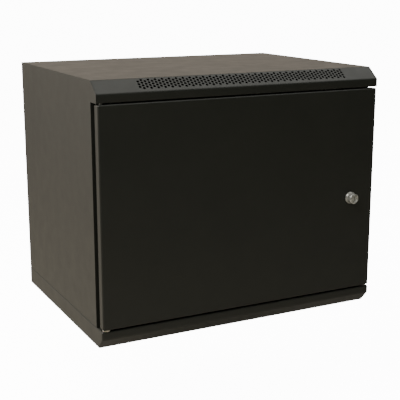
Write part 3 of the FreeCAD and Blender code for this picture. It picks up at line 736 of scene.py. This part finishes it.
def make_door():
    """The door's pan: its face, its four sides and the return behind them."""
    sheet = settings("sheet")
    low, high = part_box("door_panel")
    centre = (low + high) / 2
    width, depth, height = high - low
    bm = bmesh.new()
    made = bmesh.ops.create_grid(
        bm,
        x_segments=1,
        y_segments=1,
        size=0.5,
        matrix=at(centre.x, low.y, centre.z, OUT_OF_DOOR) @ Matrix.Diagonal((width, height, 1, 1)),
    )
    sides = pull(bm, edges_at(made["verts"]), (0, depth, 0))
    lip = pull(bm, sides, (0, 0, 0))
    bmesh.ops.scale(
        bm,
        vec=(1 - 2 * sheet.door_return / width, 1, 1 - 2 * sheet.door_return / height),
        space=Matrix.Translation(-centre),
        verts=corners(lip),
    )
    round_folds(bm, FORWARD, sheet.wide_fold)
    lock = middle("lock_body")
    slack = 0.1 * MM
    radius = settings("lock").thread / 2 + slack
    lock_hole = ring(bm, radius, at(lock.x, low.y, lock.z, OUT_OF_DOOR), 48)
    pierce(bm, facing(bm, FORWARD), lock_hole)
    pierce(bm, facing(bm, UP), pin_hole(bm, high.z))
    pierce(bm, facing(bm, DOWN), pin_hole(bm, low.z))
    thicken(bm, FORWARD)
    new_piece("door_pan", bm, "powder_coat", "door", ["door_panel"], even=True)


def make_base():
    """The base: a pan with a chamfered front and returns along its top edges."""
    sheet = settings("sheet")
    low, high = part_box("base_pan")
    bm = bmesh.new()
    end = outline(
        bm,
        [
            (low.x, low.y, high.z),
            (low.x, low.y, high.z - sheet.base_lip),
            (low.x, low.y + sheet.chamfer_depth, low.z),
            (low.x, high.y, low.z),
            (low.x, high.y, high.z),
        ],
    )
    face = bmesh.ops.edgenet_fill(bm, edges=end)["faces"]
    made = bmesh.ops.extrude_face_region(bm, geom=face, use_keep_orig=True)["geom"]
    bmesh.ops.translate(bm, verts=only(made, bmesh.types.BMVert), vec=(high.x - low.x, 0, 0))
    bmesh.ops.recalc_face_normals(bm, faces=bm.faces[:])
    bmesh.ops.delete(bm, geom=[facing(bm, BACKWARD)], context="FACES_ONLY")
    reach = high.x - sheet.side_return
    near = low.y + sheet.front_return
    divide_top(bm, (-reach, 0, 0), RIGHT)
    divide_top(bm, (reach, 0, 0), RIGHT)
    divide_top(bm, (0, near, 0), BACKWARD)
    opening = [
        face
        for face in bm.faces
        if face.normal.z > 0.99
        and abs(face.calc_center_median().x) < reach
        and face.calc_center_median().y > near
    ]
    bmesh.ops.delete(bm, geom=opening, context="FACES")
    round_folds(bm, DOWN, sheet.wide_fold)
    trim_low, trim_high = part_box("base_entry_trim")
    lap = sheet.trim_lap
    entry = outline(
        bm,
        [
            (trim_low.x + lap, trim_low.y + lap, low.z),
            (trim_high.x - lap, trim_low.y + lap, low.z),
            (trim_high.x - lap, trim_high.y - lap, low.z),
            (trim_low.x + lap, trim_high.y - lap, low.z),
        ],
    )
    pierce(bm, facing(bm, DOWN), entry)
    pierce(bm, facing(bm, UP), pin_hole(bm, high.z))
    thicken(bm, DOWN)
    new_piece("base_shell", bm, "powder_coat", "cabinet", ["base_pan"], even=True)


def lock_place():
    """The lock's axis at the door's face, with Z out of the door."""
    lock = middle("lock_body")
    return at(lock.x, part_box("door_panel")[0].y, lock.z, OUT_OF_DOOR)


def out_of_door(y):
    """How far something at a depth Y stands out of the door's face."""
    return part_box("door_panel")[0].y - y


def make_lock_housing():
    """The domed bezel, the barrel with a ring cut in its face, and the thread behind them."""
    lock = settings("lock")
    low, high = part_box("lock_body")
    bezel = (high.x - low.x) / 2
    proud = out_of_door(low.y)
    barrel = lock.barrel / 2
    bore = lock.bore / 2
    edge = lock.barrel_edge
    rise = lock.bezel_height - lock.bezel_rim
    arc = [QUARTER_TURN * step / 6 for step in range(7)]
    dome = [
        (
            barrel + (bezel - barrel) * math.cos(angle),
            lock.bezel_rim + rise * math.sin(angle),
        )
        for angle in arc
    ]
    shoulder = [
        (barrel - edge + edge * math.cos(angle), proud - edge + edge * math.sin(angle))
        for angle in arc
    ]
    groove = (barrel + bore) / 2
    cut = lock.face_groove
    mouth_width, mouth_depth = 0.6 * MM, 0.7 * MM
    profile = [
        (bore, 0),
        (bezel, 0),
        *dome,
        *shoulder,
        (groove + cut, proud),
        (groove, proud - cut),
        (groove - cut, proud),
        (bore + mouth_width, proud),
        (bore, proud - mouth_depth),
    ]
    bm = bmesh.new()
    lathe(bm, profile, 72)
    put(bm, lock_place())
    add_copies(bm, lock_thread(out_of_door(high.y)), [lock_place()])
    new_piece("lock_housing", bm, "lock_chrome", "door", ["lock_body"], sharp=30)


def lock_thread(bottom):
    """The threaded tube behind the bezel with its two flats, down to a height."""
    lock = settings("lock")
    outer = lock.thread / 2
    root = outer - lock.thread_depth
    bore = lock.bore / 2
    height = -0.02 * MM  # clear of the bezel
    points = [(bore, bottom), (bore, height)]
    while height - lock.thread_pitch > bottom:
        points += [(outer, height), (root, height - lock.thread_pitch / 2)]
        height -= lock.thread_pitch
    points.append((root, bottom))
    thread = bmesh.new()
    lathe(thread, points, 60)
    for side in (-1, 1):
        cut = bmesh.ops.bisect_plane(
            thread,
            geom=thread.verts[:] + thread.edges[:] + thread.faces[:],
            plane_co=(side * lock.flats / 2, 0, 0),
            plane_no=(side, 0, 0),
            clear_outer=True,
        )["geom_cut"]
        edges = only(cut, bmesh.types.BMEdge)
        bmesh.ops.triangle_fill(thread, use_beauty=True, edges=edges, normal=(side, 0, 0))
    return thread


def make_lock_plug():
    """The plug with its keyway, and the square behind it that carries the cam."""
    lock = settings("lock")
    low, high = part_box("lock_plug")
    radius = (high.x - low.x) / 2
    face = out_of_door(low.y)
    back = out_of_door(high.y)
    seat = out_of_door(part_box("lock_cam")[0].y)
    wide, tall = lock.keyway_width / 2, lock.keyway_height / 2
    edge_depth = 0.3 * MM
    bm = bmesh.new()
    rim = ring(bm, radius - lock.plug_edge, at(0, 0, face), 60)
    keyway = outline(bm, [(wide * x, tall * y, face) for x, y in KEYWAY])
    bmesh.ops.triangle_fill(bm, use_beauty=True, edges=rim + keyway, normal=UP)
    floor = pull(bm, keyway, (0, 0, -lock.keyway_depth))
    bmesh.ops.edgenet_fill(bm, edges=floor)
    shoulder = draw_ring(bm, rim, face - edge_depth, radius)
    end = draw_ring(bm, shoulder, seat, radius)
    bmesh.ops.edgenet_fill(bm, edges=end)
    half_square = radius * 2 / 3
    prism(bm, 4, half_square * math.sqrt(2), back, seat)
    put(bm, lock_place())
    new_piece("lock_core_plug", bm, "lock_chrome", "lock_core", ["lock_plug"], sharp=30)


def make_cam_screw():
    """The hex screw and its washer, which hold the cam on the plug."""
    washer, washer_height = 5.4 * MM, 0.7 * MM
    head, head_top = 4.6 * MM, 3.6 * MM
    profile = [
        (0, 0),
        (washer - 0.2 * MM, 0),
        (washer, 0.15 * MM),
        (washer, washer_height),
        (0, washer_height),
    ]
    bm = bmesh.new()
    prism(bm, 6, head, washer_height, head_top, 0.45 * MM)
    lathe(bm, profile, 32, closed=False)
    lock = middle("lock_body")
    cam_back = max(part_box("lock_cam")[1].y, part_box("lock_plug")[1].y)
    put(bm, at(lock.x, cam_back, lock.z, TO_WALL))
    new_piece("lock_cam_screw", bm, "zinc_plate", "lock_core")


def make_upper_pin():
    """The sprung pin, with its groove and its bent finger lever."""
    hinge = settings("hinge")
    radius = hinge.pin / 2
    tip_radius = radius - hinge.chamfer
    axis = middle("upper_pin_clip")
    low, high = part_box("upper_hinge_pin")
    clip_low, clip_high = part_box("upper_pin_clip")
    lever = low.z + radius
    straight = lever + hinge.bend
    bm = bmesh.new()
    tip = bmesh.ops.create_circle(
        bm, cap_ends=True, radius=tip_radius, segments=32, matrix=at(0, 0, high.z)
    )
    rim = edges_at(tip["verts"])
    for height, size in (
        (high.z - hinge.chamfer, radius),
        (clip_high.z, radius),
        (clip_high.z, radius - hinge.groove),
        (clip_low.z, radius - hinge.groove),
        (clip_low.z, radius),
        (straight, radius),
    ):
        rim = draw_ring(bm, rim, height, size)
    bend = bmesh.ops.spin(
        bm,
        geom=corners(rim) + rim,
        cent=(hinge.bend, 0, straight),
        axis=(0, 1, 0),
        dvec=(0, 0, 0),
        angle=-QUARTER_TURN,
        steps=10,
        use_merge=False,
        use_duplicate=False,
    )["geom_last"]
    rim = only(bend, bmesh.types.BMEdge)
    reach = high.x - axis.x - hinge.chamfer
    rim = pull(bm, rim, (reach - corners(rim)[0].co.x, 0, 0))
    rim = pull(bm, rim, (hinge.chamfer, 0, 0))
    squeeze = tip_radius / radius
    bmesh.ops.scale(
        bm, vec=(1, squeeze, squeeze), space=Matrix.Translation((0, 0, -lever)), verts=corners(rim)
    )
    bmesh.ops.edgenet_fill(bm, edges=rim)
    merge(bm)
    put(bm, at(axis.x, axis.y, 0))
    new_piece("upper_hinge_rod", bm, "pin_steel", "hinge_pin", ["upper_hinge_pin"])


def make_spring():
    """The upper pin's coiled spring, with a closed turn at each end."""
    hinge = settings("hinge")
    axis = middle("upper_pin_clip")
    low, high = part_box("upper_pin_spring")
    inset = 0.05 * MM
    coil = (high.y - low.y) / 2 - hinge.wire / 2 - inset
    closed_end = hinge.wire * 1.02
    rise = (high.z - low.z) - hinge.wire - closed_end * 2
    steps = 24
    bm = bmesh.new()
    made = bmesh.ops.create_circle(
        bm,
        cap_ends=True,
        radius=hinge.wire / 2,
        segments=10,
        matrix=at(coil, 0, low.z + hinge.wire / 2, OUT_OF_DOOR),
    )
    section = unique(face for vert in made["verts"] for face in vert.link_faces)
    section += edges_at(made["verts"]) + made["verts"]
    for turns, climb in ((1, closed_end), (hinge.turns - 2, rise), (1, closed_end)):
        section = bmesh.ops.spin(
            bm,
            geom=section,
            cent=(0, 0, 0),
            axis=(0, 0, 1),
            dvec=(0, 0, climb / (turns * steps)),
            angle=FULL_TURN * turns,
            steps=turns * steps,
            use_merge=False,
            use_duplicate=False,
        )["geom_last"]
    merge(bm)
    put(bm, at(axis.x, axis.y, 0))
    spring = new_piece("upper_spring_coil", bm, "spring_steel", "door", ["upper_pin_spring"], 60)
    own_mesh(spring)


def make_lower_hinge():
    """The plain lower pin and the nylon washer that the door stands on."""
    hinge = settings("hinge")
    radius = hinge.pin / 2
    axis = middle("upper_pin_clip")
    low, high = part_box("lower_hinge_pin")
    bm = bmesh.new()
    rod(bm, radius, hinge.chamfer, low.z, high.z)
    put(bm, at(axis.x, axis.y, 0))
    new_piece("lower_hinge_rod", bm, "pin_steel", "door", ["lower_hinge_pin"])

    low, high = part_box("lower_hinge_washer")
    wide = (high.x - low.x) / 2
    bore = radius + hinge.clearance
    bm = bmesh.new()
    lathe(bm, [(bore, low.z), (wide, low.z), (wide, high.z), (bore, high.z)], 48)
    soften(bm, 0.3 * MM, 3)
    put(bm, at(axis.x, axis.y, 0))
    new_piece("lower_hinge_disc", bm, "nylon", "cabinet", ["lower_hinge_washer"])


def make_door_stops():
    """The two domed rubber stops that the door closes on."""
    low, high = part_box("door_bumpers")
    wide = (high.x - low.x) / 2
    tall = high.y - low.y
    profile = [
        (0, 0),
        (wide, 0),
        (wide, tall * 0.55),
        (wide * 0.93, tall * 0.78),
        (wide * 0.74, tall * 0.93),
        (wide * 0.42, tall),
        (0, tall),
    ]
    stop = bmesh.new()
    lathe(stop, profile, 40, closed=False)
    x = (low.x + high.x) / 2
    places = [at(x, high.y, z, OUT_OF_DOOR) for z in (low.z + wide, high.z - wide)]
    new_set("door_stops", stop, places, "rubber", "cabinet", ["door_bumpers"], 50)


def screw_template(radius, height, flush=False):
    """A screw head with a cross recess, standing on Z = 0, or sunk to it where it is flush."""
    bm = bmesh.new()
    crown_radius = radius * 0.5
    if flush:
        profile = [
            (0, -height),
            (radius * 0.8, -height),
            (radius, 0),
            (radius * 0.97, height * 0.06),
            (crown_radius, height * 0.08),
        ]
    else:
        profile = [
            (0, 0),
            (radius * 0.96, 0),
            (radius, height * 0.12),
            (radius * 0.99, height * 0.35),
            (radius * 0.9, height * 0.66),
            (radius * 0.72, height * 0.9),
            (crown_radius, height),
        ]
    lathe(bm, profile, 24, closed=False)
    crown = profile[-1][1]
    rim = [
        edge
        for edge in bm.edges
        if edge.is_boundary and all(abs(vert.co.z - crown) < 1e-6 for vert in edge.verts)
    ]
    arm, half = radius * 0.42, radius * 0.09
    points = []
    for quarter in range(4):
        turn = Matrix.Rotation(quarter * QUARTER_TURN, 3, "Z")
        for x, y in ((half, half), (half, arm), (-half, arm)):
            points.append(turn @ Vector((x, y, 0)))
    cross = outline(bm, [(point.x, point.y, crown) for point in points])
    bmesh.ops.triangle_fill(bm, use_beauty=True, edges=rim + cross, normal=UP)
    floor = pull(bm, cross, (0, 0, -height * 0.6))
    bmesh.ops.scale(bm, vec=(0.55, 0.55, 1), verts=corners(floor))
    bmesh.ops.edgenet_fill(bm, edges=floor)
    return bm


def nut_template(height, washer=0.0):
    """A hex nut on its threaded end, standing on Z = 0 or on a washer."""
    size = settings("fastener")
    bore = size.stud / 2
    bm = bmesh.new()
    base = 0.0
    if washer:
        base = 1.2 * MM
        lathe(bm, [(bore, 0), (washer / 2, 0), (washer / 2, base), (bore, base)], 32)
    prism(bm, 6, size.across_flats / math.sqrt(3), base, base + height, height * 0.12)
    threaded_end(bm, bore, 0, base + height * 1.45, MM)
    return bm


def make_rail_bolts():
    """The bolts that hold the rails to the depth members, and their nuts."""
    size = settings("fastener")
    sheet = settings("sheet")
    half_flat = size.across_flats / 2
    half_corner = size.across_flats / math.sqrt(3)
    low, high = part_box("rail_bolts")
    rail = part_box("front_right_rack_rail")[1].x - sheet.rail_sheet
    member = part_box("upper_right_depth_member")[0].x + sheet.frame_sheet
    rim, thickness = size.washer / 2, 0.8 * MM
    bolt = bmesh.new()
    lathe(bolt, [(0, 0), (rim, 0), (rim, thickness), (0, thickness)], 32, closed=False)
    prism(bolt, 6, half_corner, thickness, thickness + size.bolt_head, 0.5 * MM)
    inward, outward = [], []
    for side, turn_in, turn_out in ((-1, TO_RIGHT, TO_LEFT), (1, TO_LEFT, TO_RIGHT)):
        for y in (low.y + half_flat, high.y - half_flat):
            for z in (low.z + half_corner, high.z - half_corner):
                inward.append(at(side * rail, y, z, turn_in))
                outward.append(at(side * member, y, z, turn_out))
    new_set("rail_bolt_heads", bolt, inward, "zinc_plate", "cabinet", ["rail_bolts"])
    nut = nut_template(size.rail_nut)
    new_set("rail_bolt_nuts", nut, outward, "zinc_plate", "cabinet", ["rail_nuts"])


def make_frame_screws():
    """The screws that hold the depth members' tabs to the posts."""
    size = settings("fastener")
    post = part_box("right_front_post")[0]
    x = (post.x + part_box("upper_right_depth_member")[1].x) / 2
    from_edge = 10 * MM
    places = []
    for name in ("lower_right_depth_member", "upper_right_depth_member"):
        low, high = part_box(name)
        rear_tab = high.y - settings("sheet").frame_sheet
        for z in (low.z + from_edge, high.z - from_edge):
            for side in (-1, 1):
                places.append(at(side * x, post.y, z, OUT_OF_DOOR))
                places.append(at(side * x, rear_tab, z, OUT_OF_DOOR))
    screw = screw_template(size.screw_head / 2, size.screw_height)
    new_set("frame_screws", screw, places, "zinc_plate", "cabinet")


def make_rear_screws():
    """The flush screws of the rear panel and of its entry's cover."""
    size = settings("fastener")
    low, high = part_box("rear_panel")
    cover_low, cover_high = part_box("rear_entry_cover")
    from_side, from_end, from_cover_edge = 10 * MM, 20 * MM, 6 * MM
    sunk = high.y - 0.05 * MM
    places = []
    for side in (-1, 1):
        for z in (low.z + from_end, (low.z + high.z) / 2, high.z - from_end):
            places.append(at(side * (high.x - from_side), sunk, z, TO_WALL))
        for z in (cover_low.z + from_cover_edge, cover_high.z - from_cover_edge):
            places.append(at(side * (cover_high.x - from_cover_edge), sunk, z, TO_WALL))
    screw = screw_template(size.flush_head / 2, size.flush_height, flush=True)
    new_set("rear_screws", screw, places, "zinc_plate", "cabinet")


def make_earth_studs():
    """The studs for earth leads, one on the door and two in the box."""
    size = settings("fastener")
    door_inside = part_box("left_door_stiffener")[0].y
    floor = settings("sheet").sheet
    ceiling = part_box("roof_cover")[1].z - floor
    on_door = [at(-215 * MM, door_inside, 78 * MM, TO_WALL)]
    x, y = -200 * MM, 165 * MM
    in_box = [at(x, y, floor), at(x, y, ceiling, UPSIDE_DOWN)]
    for name, body, places in (
        ("door_earth_stud", "door", on_door),
        ("box_earth_studs", "cabinet", in_box),
    ):
        new_set(name, nut_template(size.stud_nut, size.washer), places, "zinc_plate", body)


# Studio


def aim(item, place, target):
    """Stands a lamp or camera at a place, looking at a target."""
    item.location = place
    item.rotation_mode = "QUATERNION"
    item.rotation_quaternion = (Vector(target) - Vector(place)).to_track_quat("-Z", "Y")


def add_light(name, place, target, width, height, power, tint):
    """A soft lamp that the camera doesn't see."""
    light = bpy.data.lights.new(name, "AREA")
    light.shape = "RECTANGLE"
    light.size = width
    light.size_y = height
    light.energy = power
    light.color = tint
    lamp = bpy.data.objects.new(name, light)
    bpy.context.scene.collection.objects.link(lamp)
    lamp.visible_camera = False
    aim(lamp, place, target)


def show_or_light(nodes, links, shown, lighting, output):
    """Sends one shader to the camera, and another to the light that falls on the cabinet."""
    pick = nodes.new("ShaderNodeMixShader")
    path = nodes.new("ShaderNodeLightPath")
    links.new(path.outputs["Is Camera Ray"], pick.inputs[0])
    links.new(lighting.outputs[0], pick.inputs[1])
    links.new(shown.outputs[0], pick.inputs[2])
    links.new(pick.outputs[0], output.inputs["Surface"])


def glowing(nodes, links, shade, light, strength):
    """A dull surface that gives off light of its own."""
    dull = nodes.new("ShaderNodeBsdfDiffuse")
    dull.inputs["Color"].default_value = (*shade, 1)
    glow = nodes.new("ShaderNodeEmission")
    glow.inputs["Color"].default_value = (*light, 1)
    glow.inputs["Strength"].default_value = strength
    both = nodes.new("ShaderNodeAddShader")
    links.new(dull.outputs[0], both.inputs[0])
    links.new(glow.outputs[0], both.inputs[1])
    return both


def make_floor():
    """A plain floor that looks pale, and sends back little light to the black coat."""
    studio = settings("studio")
    bm = bmesh.new()
    bmesh.ops.create_grid(bm, x_segments=4, y_segments=4, size=40, matrix=at(0, 0, -studio.drop))
    mesh = bpy.data.meshes.new("studio_floor")
    bm.to_mesh(mesh)
    bm.free()
    floor = bpy.data.objects.new("studio_floor", mesh)
    bpy.context.scene.collection.objects.link(floor)
    material = bpy.data.materials.new("studio_floor")
    material.use_nodes = True
    nodes, links = material.node_tree.nodes, material.node_tree.links
    nodes.clear()
    shown = glowing(nodes, links, studio.floor, studio.floor, studio.glow)
    lighting = glowing(nodes, links, studio.floor_shade, studio.floor_light, 1.0)
    show_or_light(nodes, links, shown, lighting, nodes.new("ShaderNodeOutputMaterial"))
    mesh.materials.append(material)


def make_room():
    """The light of the room: pale where it is seen, dim where it only lights."""
    studio = settings("studio")
    world = bpy.data.worlds.new("studio_room")
    bpy.context.scene.world = world
    world.use_nodes = True
    nodes, links = world.node_tree.nodes, world.node_tree.links
    nodes.clear()
    shown = nodes.new("ShaderNodeBackground")
    shown.inputs["Color"].default_value = (*studio.floor, 1)
    shown.inputs["Strength"].default_value = studio.glow
    lighting = nodes.new("ShaderNodeBackground")
    lighting.inputs["Color"].default_value = (*studio.sky, 1)
    show_or_light(nodes, links, shown, lighting, nodes.new("ShaderNodeOutputWorld"))


def make_camera():
    """The camera, where the settings put it."""
    studio = settings("studio")
    camera = bpy.data.cameras.new("studio_camera")
    camera.sensor_width = 36
    camera.lens = studio.lens
    camera.clip_end = 200
    viewer = bpy.data.objects.new("studio_camera", camera)
    bpy.context.scene.collection.objects.link(viewer)
    place = Vector(studio.camera_place)
    level = math.cos(studio.tilt)
    sight = Vector(
        (
            math.sin(studio.azimuth) * level,
            math.cos(studio.azimuth) * level,
            -math.sin(studio.tilt),
        )
    )
    aim(viewer, place, place + sight)
    bpy.context.scene.camera = viewer


def make_lights():
    """The lamps: each has its place, what it is aimed at, its width, height, watts and tint."""
    cabinet = (0, 0, 0.25)
    beside = (-0.6, 0.2, -0.25)
    add_light("overhead_softbox", (1.0, -0.2, 2.6), cabinet, 2.6, 2.2, 32, NEUTRAL)
    add_light("rear_right_softbox", (0.9, 3.3, 1.3), cabinet, 4.4, 2.4, 28, AMBER)
    add_light("rear_left_softbox", (-2.6, 2.2, 0.5), cabinet, 2.4, 1.8, 23, WARM)
    add_light("upper_left_softbox", (-1.5, -0.8, 2.0), cabinet, 1.4, 1.4, 50, NEUTRAL)
    add_light("floor_wash", (-1.3, 0.5, 1.5), beside, 1.0, 1.0, 35, WARM)


# Add-on


class CABINET_OT_finishes(bpy.types.Operator):
    """Make the finishes and put them on the covers, the frame, the rails and the door"""

    bl_idname = "cabinet.finishes"
    bl_label = "Finishes"
    bl_options = {"REGISTER", "UNDO"}

    def execute(self, context):
        coat = make_coat()
        finishes.update(
            powder_coat=coat,
            frame_coat=coat,
            zinc_plate=make_zinc(),
            lock_chrome=make_nickel(),
            pin_steel=make_steel("turned_steel", 0.0),
            spring_steel=make_steel("spring_wire", 0.06),
            nylon=make_nylon(),
            rubber=make_rubber(),
        )
        set_finishes()
        return {"FINISHED"}


class CABINET_OT_roof(bpy.types.Operator):
    """Make the folded roof with its perforated slope"""

    bl_idname = "cabinet.roof"
    bl_label = "Roof"
    bl_options = {"REGISTER", "UNDO"}

    def execute(self, context):
        make_roof()
        return {"FINISHED"}


class CABINET_OT_door(bpy.types.Operator):
    """Make the door's folded pan"""

    bl_idname = "cabinet.door"
    bl_label = "Door"
    bl_options = {"REGISTER", "UNDO"}

    def execute(self, context):
        make_door()
        return {"FINISHED"}


class CABINET_OT_base(bpy.types.Operator):
    """Make the folded base"""

    bl_idname = "cabinet.base"
    bl_label = "Base"
    bl_options = {"REGISTER", "UNDO"}

    def execute(self, context):
        make_base()
        return {"FINISHED"}


class CABINET_OT_lock(bpy.types.Operator):
    """Make the cam lock's housing, plug and screw"""

    bl_idname = "cabinet.lock"
    bl_label = "Lock"
    bl_options = {"REGISTER", "UNDO"}

    def execute(self, context):
        make_lock_housing()
        make_lock_plug()
        make_cam_screw()
        return {"FINISHED"}


class CABINET_OT_hinges(bpy.types.Operator):
    """Make the hinge pins, the spring, the washer and the door's stops"""

    bl_idname = "cabinet.hinges"
    bl_label = "Hinges"
    bl_options = {"REGISTER", "UNDO"}

    def execute(self, context):
        make_upper_pin()
        make_spring()
        make_lower_hinge()
        make_door_stops()
        return {"FINISHED"}


class CABINET_OT_fasteners(bpy.types.Operator):
    """Make the bolts, nuts, screws and earth studs"""

    bl_idname = "cabinet.fasteners"
    bl_label = "Fasteners"
    bl_options = {"REGISTER", "UNDO"}

    def execute(self, context):
        make_rail_bolts()
        make_frame_screws()
        make_rear_screws()
        make_earth_studs()
        return {"FINISHED"}


class CABINET_OT_studio(bpy.types.Operator):
    """Make the floor, the lights and the camera"""

    bl_idname = "cabinet.studio"
    bl_label = "Studio"
    bl_options = {"REGISTER", "UNDO"}

    def execute(self, context):
        make_camera()
        make_lights()
        make_floor()
        make_room()
        return {"FINISHED"}


OPERATORS = (
    CABINET_OT_finishes,
    CABINET_OT_roof,
    CABINET_OT_door,
    CABINET_OT_base,
    CABINET_OT_lock,
    CABINET_OT_hinges,
    CABINET_OT_fasteners,
    CABINET_OT_studio,
)
SETTINGS = {
    "coat": CoatSettings,
    "metal": MetalSettings,
    "sheet": SheetSettings,
    "roof": RoofSettings,
    "lock": LockSettings,
    "hinge": HingeSettings,
    "fastener": FastenerSettings,
    "studio": StudioSettings,
}


class CABINET_PT_panel(bpy.types.Panel):
    """Lists the cabinet's pieces"""

    bl_idname = "CABINET_PT_panel"
    bl_label = "Wall Cabinet"
    bl_space_type = "VIEW_3D"
    bl_region_type = "UI"
    bl_category = "Cabinet"

    def draw(self, context):
        for operator in OPERATORS:
            self.layout.operator(operator.bl_idname)


def register():
    for name, group in SETTINGS.items():
        bpy.utils.register_class(group)
        pointer = bpy.props.PointerProperty(type=group)
        setattr(bpy.types.Scene, f"cabinet_{name}", pointer)
    for item in (*OPERATORS, CABINET_PT_panel):
        bpy.utils.register_class(item)


def unregister():
    for item in (CABINET_PT_panel, *reversed(OPERATORS)):
        bpy.utils.unregister_class(item)
    for name, group in SETTINGS.items():
        delattr(bpy.types.Scene, f"cabinet_{name}")
        bpy.utils.unregister_class(group)


def main():
    register()
    bpy.ops.cabinet.finishes()
    bpy.ops.cabinet.roof()
    bpy.ops.cabinet.door()
    bpy.ops.cabinet.base()
    bpy.ops.cabinet.lock()
    bpy.ops.cabinet.hinges()
    bpy.ops.cabinet.fasteners()
    bpy.ops.cabinet.studio()


if __name__ == "__main__":
    main()
